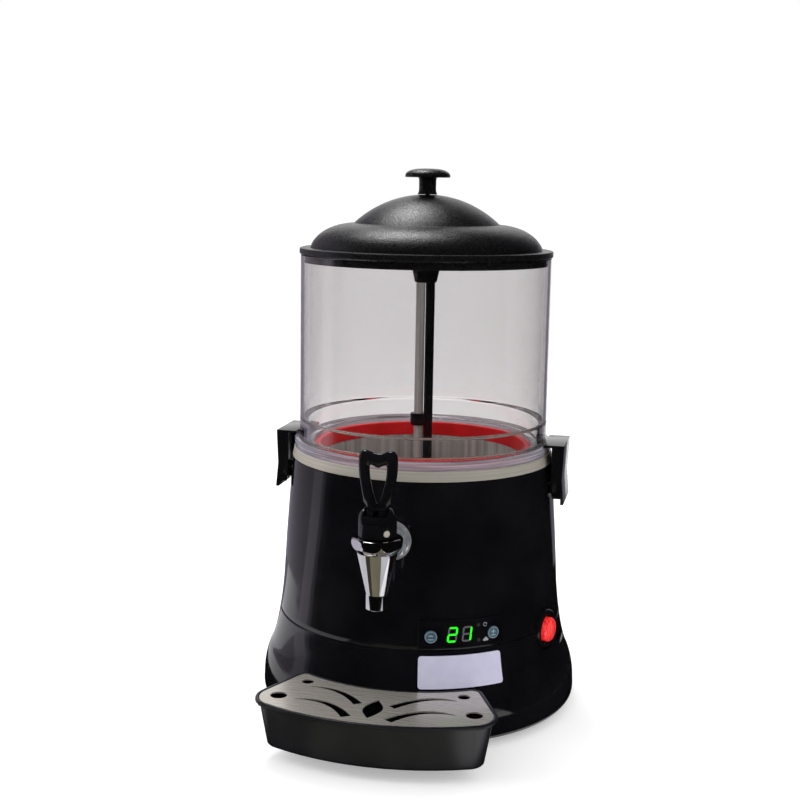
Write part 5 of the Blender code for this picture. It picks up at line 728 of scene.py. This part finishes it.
def build_lid():
    """Double-domed lid with a rolled lip, and its knob."""
    outside = []
    roll_wide, roll_tall, roll_steps = 39.5, 26.6, 18
    low, high = math.asin(5.2 / roll_tall), math.acos(1.2 / roll_wide)
    for count in range(roll_steps + 1):
        turn = low + (high - low) * count / roll_steps
        outside.append((62.0 + roll_wide * math.cos(turn), 396.3 + roll_tall * math.sin(turn)))
    dome, wall, dome_middle, dome_steps = 92.0, 2.2, 356.0, 24
    crease, hub = math.asin(63.2 / dome), math.asin(8.0 / dome)
    for count in range(dome_steps + 1):
        turn = crease + (hub - crease) * count / dome_steps
        outside.append((dome * math.sin(turn), dome_middle + dome * math.cos(turn)))
    inside = [(99.4, 399.3), (96.5, 408.0), (88.0, 415.6), (76.0, 419.9), (61.7, 420.9)]
    inside += [((dome - wall) * math.sin(crease * share), dome_middle + (dome - wall) * math.cos(crease * share))
               for share in (0.8, 0.6, 0.4, 0.2)]
    top = outside[-1][1]
    profile = [(105.5, 389.7), (105.5, 396.3), (109.3, 396.3), (109.8, 396.8), (109.8, 400.2), (109.3, 401.2),
               (108.4, 401.5)] + outside + [(0.0, top), (0.0, top - wall)] + inside[::-1]
    profile += [(102.8, 399.3), (102.8, 389.3), (105.1, 389.3)]
    piece("domed_lid", turned(profile, BROAD), LID, "lid", "lid", sharp=40.0)
    knob = [(0.0, 447.95), (8.3, 447.95), (8.5, 448.2)]
    knob += spline([(8.4, 448.6), (7.7, 450.0), (7.4, 452.4), (7.4, 456.0), (7.6, 461.2), (9.0, 462.4)], 5)
    knob += spline([(18.6, 462.4), (19.4, 462.8), (19.5, 463.6), (18.6, 466.0), (15.4, 468.2), (10.4, 469.5),
                    (5.0, 469.9), (0.0, 470.0)], 5)
    piece("lid_grip", turned(knob, FINE), LID, "lid", "lid_knob", sharp=50.0)


def build_stirrer():
    """Steel rod and black stem side by side, with the hub on top and the clip between them."""
    turn = math.radians(STEM_TURN)
    across = Vector((math.cos(turn), math.sin(turn), 0.0)) * STEM_ASIDE
    bar = [(0.0, 190.3), (3.6, 190.3), (4.0, 190.7), (4.0, 378.6), (3.6, 379.0), (0.0, 379.0)]
    piece("steel_rod", moved(turned(bar, SMALL), Matrix.Translation(-across)), PAN_STEEL, "stirrer", "stirrer_rod")
    piece("black_stem", moved(turned(bar, SMALL), Matrix.Translation(across)), BLACK, "stirrer", "stirrer_stem")
    hub = [(0.0, 372.5), (9.2, 372.5), (9.7, 373.0), (12.0, 383.5), (12.2, 384.6), (12.2, 390.4), (11.7, 391.4),
           (9.9, 393.6), (9.2, 394.0), (0.0, 394.0)]
    piece("top_hub", turned(hub, FINE), BLACK, "stirrer", "stirrer_hub")
    clip = [(4.3, 246.5), (6.9, 246.5), (7.3, 246.9), (7.3, 256.6), (6.9, 257.0), (4.3, 257.0)]
    piece("rod_clip", moved(turned(clip, SMALL), Matrix.Translation(-across)), BLACK, "stirrer", "stirrer_clip")
    piece("stirring_paddle", softened(cad_shape("paddle"), 0.5), SATIN, "stirrer", "paddle")


# ---------------------------------------------------------------- latches

def build_latches():
    """Side latches with softened edges."""
    for side in ("left", "right"):
        node = "latch_" + side
        piece("clasp_" + side, softened(cad_shape(node), 0.45, 3), BLACK, side + "_latch", node)


# ---------------------------------------------------------------- tap

def build_tap():
    """Chrome tap with its eight-sided collar, the shank's nut and the rosette."""
    to_tap = Matrix.Translation((0.0, -TAP_OUT, 0.0))
    to_outlet = outward(0.0, OUTLET)
    collar = spline([(16.6, 177.2), (17.8, 178.6), (19.4, 181.0), (20.3, 184.2), (20.0, 186.6), (18.3, 188.2),
                     (15.2, 188.6)], 9)
    profile = [(5.5, 131.0), (5.9, 130.5), (8.0, 130.5), (8.5, 131.0), (8.5, 142.6), (8.7, 143.6), (15.7, 174.4),
               (16.1, 176.4)] + collar + [(0.0, 188.6), (0.0, 160.0), (5.5, 160.0)]
    body = turned(profile, TAP_ROUND)
    sides, half_across_flats = 8, 18.8
    eight = many_sided(sides, half_across_flats / math.cos(math.pi / sides), 22.5)
    body = carved(body, prism(eight, 120.0, 200.0), "INTERSECT")
    boss = turned([(0.0, 141.9), (10.8, 141.9), (11.2, 142.3), (11.2, 160.0), (0.0, 160.0)], FINE)
    whole = joined([moved(body, to_tap), moved(boss, to_outlet)])
    piece("chrome_tap", whole, CHROME, "casing", "tap_body", sharp=9.0)
    nut = prism(many_sided(6, 14.78), 123.6, 133.1)
    nut = carved(nut, turned([(0.0, 123.5), (13.4, 123.6), (15.0, 124.7), (15.0, 132.0), (13.2, 133.1), (0.0, 133.2)],
                             FINE), "INTERSECT")
    piece("chrome_nut", moved(softened(nut, 0.2), to_outlet), SATIN_CHROME, "casing", "shank_nut", sharp=25.0)
    rosette = [(8.3, 119.9), (16.5, 119.9), (16.8, 120.2), (16.8, 121.1), (16.2, 121.8), (15.4, 121.9), (15.0, 122.2),
               (14.2, 123.1), (13.6, 123.3), (8.3, 123.3)]
    rosette = moved(turned(rosette, TAP_ROUND), to_outlet)
    piece("chrome_rosette", rosette, SATIN_CHROME, "casing", "tap_rosette", sharp=25.0)
    fork = turned([(0.0, 183.3), (10.7, 183.3), (10.7, 188.9), (14.7, 188.9), (15.0, 189.2), (15.0, 200.5)]
                  + spline([(14.9, 203.2), (14.0, 206.6), (12.0, 209.6), (9.4, 211.3)], 4) + [(0.0, 211.8)], FINE)
    gap = box((-9.3, -8.7, 195.0), (9.3, 30.0, 206.0))
    top = box((-9.3, -30.0, 205.6), (9.3, 30.0, 220.0))
    arch = [(-30.0, 200.0)] + arc((0.0, 200.0), 11.3, 180.0, 0.0, 16) + [(30.0, 200.0), (30.0, 220.0), (-30.0, 220.0)]
    fork = carved(carved(carved(fork, gap), top), side_prism(arch, -30.0, 30.0))
    fork = carved(fork, drill(2.8, 11.0, 17.0, *FORK_SCREW, TINY))
    piece("tap_fork", moved(softened(fork, 0.5, 3, 40.0), to_tap), BLACK, "casing", "tap_bonnet")
    cap = turned([(0.0, 11.8), (2.6, 11.8), (2.6, 14.9), (2.3, 15.3), (0.0, 15.4)], TINY)
    piece("screw_cap", moved(cap, to_tap @ outward(*FORK_SCREW)), IVORY, "casing", "bonnet_screw")


def build_lever():
    """Loop lever: a ring of round plastic rod rising from its hub."""
    outer = [(0.0, 3.2), (5.0, 3.4), (7.8, 3.9), (9.0, 8.6), (11.0, 11.2), (13.2, 21.8), (15.0, 33.3), (15.5, 41.6),
             (15.0, 47.8), (13.0, 51.2), (10.2, 52.0), (7.1, 51.3), (3.7, 50.3), (0.0, 49.9)]
    inner = [(0.0, 9.9), (1.4, 12.2), (2.5, 15.6), (3.9, 20.2), (5.1, 25.0), (6.1, 30.0), (6.5, 33.3), (6.7, 37.0),
             (6.65, 39.3), (5.9, 40.5), (4.65, 40.3), (3.4, 39.7), (2.3, 39.0), (0.0, 38.2)]
    right_halves = [spline(half, 5) for half in (outer, inner)]
    paths = [right + [(-x, z) for x, z in right[-2:0:-1]] for right in right_halves]
    around, half_thick = 20, 4.2
    turns = [2.0 * math.pi * count / around for count in range(around)]
    shape = bmesh.new()
    rows = []
    for far, near in zip(*paths):
        middle = Vector(((far[0] + near[0]) / 2.0, 0.0, (far[1] + near[1]) / 2.0))
        half = Vector(((far[0] - near[0]) / 2.0, 0.0, (far[1] - near[1]) / 2.0))
        rows.append([shape.verts.new(middle + half * math.cos(turn) + Vector((0.0, half_thick * math.sin(turn), 0.0)))
                     for turn in turns])
    bridge(shape, rows, closed=True)
    hub = turned([(0.0, -9.0), (4.6, -9.0)] + spline([(5.8, -8.6), (6.9, -6.8), (7.4, -3.5), (7.4, 3.5), (6.9, 6.8),
                                                       (5.8, 8.6)], 4) + [(4.6, 9.0), (0.0, 9.0)], FINE)
    hub = moved(hub, Matrix.Rotation(math.radians(90.0), 4, "Y"))
    hub = carved(hub, box((-2.2, -15.0, -15.0), (2.2, 15.0, 5.5)))
    to_pin = Matrix.Translation((0.0, -TAP_OUT, LEVER_PIN))
    piece("loop_lever", moved(joined([shape, hub]), to_pin), BLACK, "lever", "tap_lever", sharp=40.0)


# ---------------------------------------------------------------- drip tray

def side_corner(inset, radius):
    """Return half width and depth where the tray's slanted side, moved in, meets a circle."""
    back, front = (Vector((half, math.sqrt(reach ** 2 - half ** 2))) for reach, half in
                   ((TRAY_BACK, TRAY_BACK_HALF), (TRAY_FRONT, TRAY_FRONT_HALF)))
    run = (front - back).normalized()
    start = back + Vector((-run.y, run.x)) * inset
    along = start.dot(run)
    return start + run * (math.sqrt(radius ** 2 - start.length_squared + along ** 2) - along)


def rounded(corners, steps=10):
    """Return an outline with each (x, y, radius) corner turned into an arc."""
    outline = []
    for index, (x, y, radius) in enumerate(corners):
        here = Vector((x, y))
        if radius == 0.0:
            outline.append((x, y))
            continue
        before = (Vector(corners[index - 1][:2]) - here).normalized()
        after = (Vector(corners[(index + 1) % len(corners)][:2]) - here).normalized()
        half = before.angle(after) / 2.0
        centre = here + (before + after).normalized() * (radius / math.sin(half))
        start = here + before * (radius / math.tan(half)) - centre
        end = here + after * (radius / math.tan(half)) - centre
        sweep = start.angle_signed(end)
        for count in range(steps + 1):
            turn = -sweep * count / steps
            outline.append((centre.x + start.x * math.cos(turn) - start.y * math.sin(turn),
                            centre.y + start.x * math.sin(turn) + start.y * math.cos(turn)))
    return outline


def tray_outline(inset):
    """Return the drip tray's plan, moved in: round front, slanted sides, back fitted to the skirt."""
    corners, steps = [], 14
    for radius, rounding, way in ((TRAY_FRONT - inset, 23.0, 1.0), (TRAY_BACK + inset, 9.0, -1.0)):
        corner = side_corner(inset, radius)
        end = way * math.degrees(math.atan2(corner.x, corner.y))
        for count in range(steps + 1):
            point = polar(end * (2.0 * count / steps - 1.0), radius, 0.0)
            bend = max(rounding - inset, 1.5) if count in (0, steps) else 0.0
            corners.append((point.x, point.y, bend))
    return rounded(corners)


def build_tray():
    """Drip tray with a rounded rim and two lugs, and its brushed grille."""
    section = [(12.4, 12.3), (10.2, 12.7), (9.3, 13.8), (9.0, 15.3), (3.3, 48.3), (3.0, 48.8), (0.4, 48.9),
               (0.0, 49.4), (0.0, 51.0), (0.3, 51.6), (0.8, 51.8), (2.1, 51.8), (2.6, 51.5), (2.6, 50.1), (5.5, 50.0),
               (5.7, 49.7), (11.2, 17.7), (14.2, 14.7)]
    shape = loft([[(x, y, height) for x, y in tray_outline(inset)] for inset, height in supported(section, False)])
    lugs = [box((side * LUG_ASIDE - 8.0, -143.6, 18.5), (side * LUG_ASIDE + 8.0, -127.3, 24.1)) for side in (-1, 1)]
    piece("tray_body", joined([shape] + [softened(lug, 0.5) for lug in lugs]), SATIN, "tray", "drip_tray")
    grille_inset = 2.9
    paths = [lambda inset: tray_outline(grille_inset + inset), leaf]
    for side in (-1, 1):
        for across, depth, radius in ((65.1, 134.5, 4.9), (79.3, 168.5, 6.7)):
            paths.append(lambda inset, middle=(side * across, -depth), radius=radius:
                         arc(middle, radius + inset, 0.0, 350.0, 35))
        for slot in (((61.5, 144.7), (34.8, 138.7), (13.4, 169.2), 7.8),
                     ((65.0, 172.3), (35.8, 164.3), (16.4, 195.5), 8.5)):
            paths.append(lambda inset, side=side, slot=slot: crescent(*slot, side, inset))
    piece("brushed_grille", pierced(paths, 50.3, 51.5, 0.25), GRILLE_STEEL, "grille", "drip_grille", sharp=30.0)


def pierced(paths, low, high, edge):
    """Make a plate from its outline and its holes, each a path that widens by how far the edge is broken."""
    shape = bmesh.new()
    caps = ([], [])
    for path in paths:
        rows = [[shape.verts.new((x, y, height)) for x, y in path(inset)]
                for height, inset in ((low, 0.0), (high - edge, 0.0), (high, edge))]
        bridge(shape, rows)
        for cap, row in zip(caps, (rows[0], rows[-1])):
            cap.extend(shape.edges.get(pair) for pair in zip(row, row[1:] + row[:1]))
    for cap in caps:
        bmesh.ops.triangle_fill(shape, edges=cap, use_beauty=True)
    bmesh.ops.recalc_face_normals(shape, faces=shape.faces)
    return shape


def leaf(inset):
    """Return the leaf-shaped hole in the grille's middle."""
    half_width, back, length = 7.8 + inset, inset - 156.8, 37.7 + 2.0 * inset
    half = [(half_width * math.sin(math.pi * count / 16), back - length * count / 16) for count in range(17)]
    return half + [(-x, y) for x, y in half[1:-1]][::-1]


def crescent(tip, bend, end, width, side, inset):
    """Return one crescent slot of the grille, thin at its tip and round at its wide end."""
    tip, bend, end = Vector(tip), Vector(bend), Vector(end)
    outer, inner = [], []
    for count in range(21):
        share = count / 20
        point = tip * (1.0 - share) ** 2 + bend * 2.0 * share * (1.0 - share) + end * share ** 2
        course = ((bend - tip) * (1.0 - share) + (end - bend) * share).normalized()
        reach = width * (0.06 + 0.94 * share ** 0.6) / 2.0 + inset
        across = Vector((-course.y, course.x)) * reach
        outer.append(point + across + course * inset * (2.0 * share - 1.0))
        inner.append(point - across + course * inset * (2.0 * share - 1.0))
    return [(side * point.x, -point.y) for point in outer + inner[::-1]]


# ---------------------------------------------------------------- panel, plate and switch

def bar_outline():
    """Return one display bar, one millimetre long before it is drawn out, with pointed ends."""
    return [(-0.5, 0.0), (-0.38, 0.75), (0.38, 0.75), (0.5, 0.0), (0.38, -0.75), (-0.38, -0.75)]


def digit_bars(bars):
    """Set out display bars: digit number and bar letter each."""
    places = {"a": (0.0, 5.5, 0), "b": (3.3, 2.75, 1), "c": (3.3, -2.75, 1), "d": (0.0, -5.5, 0),
              "e": (-3.3, -2.75, 1), "f": (-3.3, 2.75, 1), "g": (0.0, 0.0, 0)}
    pitch, slant, upright_bar, level_bar = 12.2, 0.14, 5.6, 6.6
    points, turns, lengths = [], [], []
    for digit, letter in bars:
        x, y, upright = places[letter]
        points.append((x + (digit - 0.5) * pitch, y, 0.0))
        turns.append(math.pi / 2.0 if upright else 0.0)
        lengths.append(upright_bar if upright else level_bar)
    shape = set_out(raised([bar_outline()], MARK_LEVEL, 1.62), points, turns, lengths)
    for vert in shape.verts:
        vert.co.x += slant * vert.co.y
    return wrapped(shape, shell_radius, DISPLAY_ANGLE, PANEL_HEIGHT, 2.0)


def build_panel():
    """Control panel with its film, display bars, lamps and keys."""
    for label, outline, low, high, edge, finish, nodes in (
            ("panel_frame", rounded_box(37.05, 12.0, 1.2), 0.3, 1.5, 0.35, CASING, ("control_panel",)),
            ("panel_film", rounded_box(35.6, 10.6, 0.8), 1.51, 1.55, 0.02, FILM, ())):
        plate = wrapped(raised([outline], low, high, edge), shell_radius, PANEL_ANGLE, PANEL_HEIGHT)
        holes = [drill(5.6, 112.0, 134.0, PANEL_ANGLE + side * KEY_ASIDE, KEY_HEIGHT) for side in (-1.0, 1.0)]
        piece(label, carved(plate, joined(holes)), finish, "casing", *nodes)
    lit = [(0, letter) for letter in "abged"] + [(1, "b"), (1, "c")]
    unlit = [(0, "f"), (0, "c")] + [(1, letter) for letter in "adefg"]
    piece("display_lit", digit_bars(lit), LIT, "casing")
    piece("display_unlit", digit_bars(unlit), UNLIT, "casing")
    lamp = [arc((0.0, 0.0), 1.5, 0.0, 345.0, 23)]
    ring = [arc((0.0, 0.0), 1.7, 0.0, 330.0, 24) + arc((0.0, 0.0), 1.2, 330.0, 0.0, 24)]
    cloud = [arc((-1.6, -0.5), 0.8, 90.0, 270.0, 8) + arc((1.7, -0.4), 0.9, -90.0, 80.0, 8)
             + arc((0.3, 0.6), 1.2, 20.0, 160.0, 8)]
    for label, outlines, angle, height, finish in (
            ("standby_mark", ring, 37.2, 101.6, DIM_INK), ("heat_mark", cloud, 37.2, 89.4, DIM_INK),
            ("lamp_upper", lamp, 34.4, 101.8, DIM_LAMP), ("lamp_lower", lamp, 34.4, 89.4, DIM_LAMP)):
        mark = raised(outlines, MARK_LEVEL, 1.6)
        piece(label, wrapped(mark, shell_radius, angle, height), finish, "casing")
    cap = [(0.0, 118.0), (5.3, 118.0), (5.3, 125.5), (5.1, 126.0), (4.7, 126.2), (4.3, 126.15), (4.1, 125.95),
           (2.0, 126.0), (0.0, 126.05)]
    edge = [(4.35, 126.1), (4.75, 126.1), (4.75, 126.28), (4.35, 126.28)]
    for label, side in (("minus", -1.0), ("plus", 1.0)):
        to_key = outward(PANEL_ANGLE + side * KEY_ASIDE, KEY_HEIGHT)
        piece("key_" + label, moved(turned(cap, FINE), to_key), KEYS, label, "button_" + label)
        marks = [rounded_box(1.9, 0.42, 0.3, (0.0, 0.9)), rounded_box(2.2, 0.35, 0.3, (0.0, -2.1))]
        if side > 0.0:
            marks.append(rounded_box(0.42, 1.9, 0.3, (0.0, 0.9)))
        flat = joined([raised(marks, 126.0, 126.16), turned(edge, FINE)])
        piece("key_mark_" + label, moved(flat, to_key), INK, label)
    plate = raised([rounded_box(35.9, 12.85, 2.6)], 0.3, 1.1, 0.25)
    piece("bare_plate", wrapped(plate, skirt_radius, PLATE_ANGLE, PLATE_HEIGHT), PLATE, "casing", "blank_plate")


def build_switch():
    """Power switch: a round-rimmed bezel and the domed red button in it."""
    to_switch = outward(SWITCH_ANGLE, SWITCH_HEIGHT)
    bezel = [(0.0, 104.0), (12.5, 104.0), (12.5, 116.0), (17.0, 116.0), (17.0, 126.2), (16.7, 127.2), (15.9, 128.0),
             (14.8, 128.4), (13.4, 128.2), (12.2, 127.4), (11.6, 126.4), (11.5, 125.4), (11.5, 120.9), (0.0, 120.9)]
    piece("switch_bezel", moved(turned(bezel, FINE), to_switch), BLACK, "casing", "switch_body")
    dome = [(0.0, 117.5), (4.1, 117.5), (4.1, 123.7), (10.4, 123.7), (10.4, 129.3)]
    dome += spline([(10.2, 130.2), (8.9, 131.6), (5.2, 132.6), (0.0, 133.0)], 6)
    piece("switch_lens", moved(turned(dome, FINE), to_switch), LENS, "switch", "switch_button")


def build_inlet():
    """Mains inlet with softened edges."""
    piece("mains_inlet", softened(cad_shape("power_inlet"), 0.4), SATIN, "casing", "power_inlet")


PLAIN_FINISHES = {
    "base_plate": ZINC, "knob_screw": PIN_STEEL, "drive_shaft": PIN_STEEL, "shaft_seal": SILICONE,
    "heater_ring": ALUMINIUM, "thermostat": SATIN, "motor_bracket": ZINC, "gearbox": ALUMINIUM, "motor": ZINC,
    "tap_shank": PIN_STEEL, "shank_seal": SILICONE, "inner_nut": BRASS, "lever_pin": PIN_STEEL,
    "crank_pin": PIN_STEEL, "valve_rod": PIN_STEEL, "seat_cup": SILICONE, "valve_spring": PIN_STEEL,
    "control_board": BOARD, "mains_board": BOARD, "latch_pin_left": PIN_STEEL, "latch_pin_right": PIN_STEEL}


def dress_plain_nodes():
    """Give the CAD nodes that stay as they are their real finish."""
    for node, finish in PLAIN_FINISHES.items():
        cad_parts[node].data.materials[0] = finish


# ---------------------------------------------------------------- studio

def shown_rays(tree):
    """Return a socket that is 1 for what is seen, also in glass and metal, and 0 for light on things."""
    path = add_node(tree, "ShaderNodeLightPath")
    seen = add_node(tree, "ShaderNodeMath", (), {0: path.outputs["Is Camera Ray"], 1: path.outputs["Is Glossy Ray"]},
                    operation="MAXIMUM")
    return add_node(tree, "ShaderNodeMath", (), {0: seen.outputs[0], 1: path.outputs["Is Transmission Ray"]},
                    operation="MAXIMUM").outputs[0]


def build_world():
    """Even studio light, with a white background for the camera and for what glass and metal show."""
    world = bpy.data.worlds.new("studio")
    world.use_nodes = True
    bpy.context.scene.world = world
    tree = world.node_tree
    level = add_node(tree, "ShaderNodeMath", {1: 1.0 - AMBIENT, 2: AMBIENT}, {0: shown_rays(tree)},
                     operation="MULTIPLY_ADD")
    background = tree.nodes["Background"]
    background.inputs["Color"].default_value = (1.0, 1.0, 1.0, 1.0)
    tree.links.new(level.outputs[0], background.inputs["Strength"])


def floor_finish():
    """Seamless white studio card: matt, lifted to white for the camera and for what reflects it."""
    made, tree, shader = new_finish("studio_card", "#f4f4f4", Roughness=0.9, Specular_IOR_Level=0.0)
    shader.inputs["Emission Color"].default_value = (1.0, 1.0, 1.0, 1.0)
    glow = 0.35
    lift = add_node(tree, "ShaderNodeMath", {1: glow}, {0: shown_rays(tree)}, operation="MULTIPLY")
    tree.links.new(lift.outputs[0], shader.inputs["Emission Strength"])
    return made


def stage_piece(name, verts, faces, finish):
    """Add one piece of the studio that isn't part of the machine."""
    mesh = bpy.data.meshes.new(name)
    mesh.from_pydata(verts, [], faces)
    mesh.materials.append(finish)
    made = added(name, mesh)
    return made


def build_floor():
    """Wide pale floor."""
    corners = [(x * 30.0, y * 30.0, 0.0) for x, y in ((-1, -1), (1, -1), (1, 1), (-1, 1))]
    stage_piece("floor", corners, [(0, 1, 2, 3)], floor_finish())


def build_cards():
    """Cards that only reflections see, painted with a studio's light and shade for black gloss and chrome to mirror;
    glass shows past them.

    Each spans two angles round the machine. Its rings are reach and height in metres.
    """
    middle, steps = 0.033, 40
    foot = ((0.142, 0.002), (0.215, 0.002))
    table = ((0.215, 0.002), (0.5, 0.002))
    wall = ((0.5, 0.002), (2.0, 0.002), (1.6, 1.6))
    # Painted light and shade: the dark foot, rear right table, room and ceiling paint shade, the wall's pale, grey
    # and dim bands paint light of several strengths, and the shaded and olive strips paint the table in shade
    for name, colour, start, end, rings in (
            ("foot_card", "#0c0c0d", -180.0, 180.0, foot),
            ("left_rear_table", "#6d6872", -150.0, -125.0, table),
            ("left_table", "#cfcdd1", -125.0, -37.0, table),
            ("shaded_table", "#3c392f", -37.0, -18.0, table),
            ("olive_table", "#77735e", -18.0, 22.0, table),
            ("right_table", "#cfcdd1", 22.0, 60.0, ((0.3, 0.002), (0.5, 0.002))),
            ("right_rear_table", "#0c0c0d", 60.0, 172.0, table),
            ("left_wall", "#8b8591", -150.0, -92.0, wall),
            ("left_bright_wall", "#b8b2bd", -92.0, -80.0, wall),
            ("left_soft_wall", "#77727c", -80.0, -76.0, wall),
            ("left_dim_wall", "#2c292e", -76.0, -70.0, wall),
            ("dark_room", "#0a0a0a", -70.0, 150.0, wall),
            ("right_rear_wall", "#77727c", 150.0, 168.0, wall),
            ("ceiling", "#0a0a0a", -180.0, 180.0, ((0.01, 1.6), (1.6, 1.6)))):
        made, tree, shader = new_finish(name, colour, Roughness=1.0, Specular_IOR_Level=0.0)
        path = add_node(tree, "ShaderNodeLightPath")
        clear = add_node(tree, "ShaderNodeBsdfTransparent")
        mixed = add_node(tree, "ShaderNodeMixShader", (), {0: path.outputs["Glossy Depth"], 1: clear.outputs[0],
                                                           2: shader.outputs[0]})
        tree.links.new(mixed.outputs[0], tree.nodes["Material Output"].inputs["Surface"])
        verts, faces = [], []
        for count in range(steps + 1):
            turn = math.radians(start + (end - start) * count / steps)
            verts += [(reach * math.sin(turn), middle - reach * math.cos(turn), height) for reach, height in rings]
            for ring in range(len(rings) - 1):
                if count:
                    corner = len(rings) * count + ring
                    faces.append((corner - len(rings), corner, corner + 1, corner + 1 - len(rings)))
        card = stage_piece(name, verts, faces, made)
        card.visible_camera = card.visible_diffuse = card.visible_shadow = False


def add_lamp(name, place, aim, width, height, power, reflected):
    """Add one white soft box that faces a height above the machine's middle, seen in gloss or not."""
    data = bpy.data.lights.new(name, "AREA")
    data.shape = "RECTANGLE"
    data.size = width
    data.size_y = height
    data.energy = power
    lamp = added(name, data)
    lamp.location = place
    lamp.rotation_euler = (Vector((0.0, 0.03, aim)) - Vector(place)).to_track_quat("-Z", "Y").to_euler()
    lamp.visible_glossy = reflected


def build_camera():
    """Camera where the photograph was taken from."""
    data = bpy.data.cameras.new("camera")
    data.sensor_width = 36.0
    data.lens = 58.5
    camera = added("camera", data)
    aside, down, swing, roll = (math.radians(angle) for angle in (-1.05, 9.41, 11.5, 0.93))
    forward = Vector((math.sin(aside) * math.cos(down), math.cos(aside) * math.cos(down), -math.sin(down)))
    forward.rotate(Matrix.Rotation(swing, 3, "Z"))
    right = forward.cross(Vector((0.0, 0.0, 1.0))).normalized()
    up = right.cross(forward)
    level, upright = right * math.cos(roll) + up * math.sin(roll), up * math.cos(roll) - right * math.sin(roll)
    matrix = Matrix((level, upright, -forward)).transposed().to_4x4()
    matrix.translation = (0.2263, -1.0794, 0.456)
    camera.matrix_world = matrix
    data.clip_end = 100.0
    bpy.context.scene.camera = camera


build_skirt()
build_shells()
build_feet()
build_base_screws()
build_bowl()
build_rings()
build_pan()
build_lid()
build_stirrer()
build_latches()
build_tap()
build_lever()
build_tray()
build_panel()
build_switch()
build_inlet()
dress_plain_nodes()
build_world()
build_floor()
build_cards()
add_lamp("left_box", (-1.7, -0.9, 1.3), 0.25, 1.0, 1.6, 12.0, False)
add_lamp("right_box", (1.9, -0.5, 1.2), 0.25, 0.8, 1.4, 8.0, False)
add_lamp("top_box", (-0.3, 0.36, 1.4), 0.4, 0.5, 0.5, 7.5, True)
build_camera()
bpy.context.scene.view_settings.view_transform = "Standard"
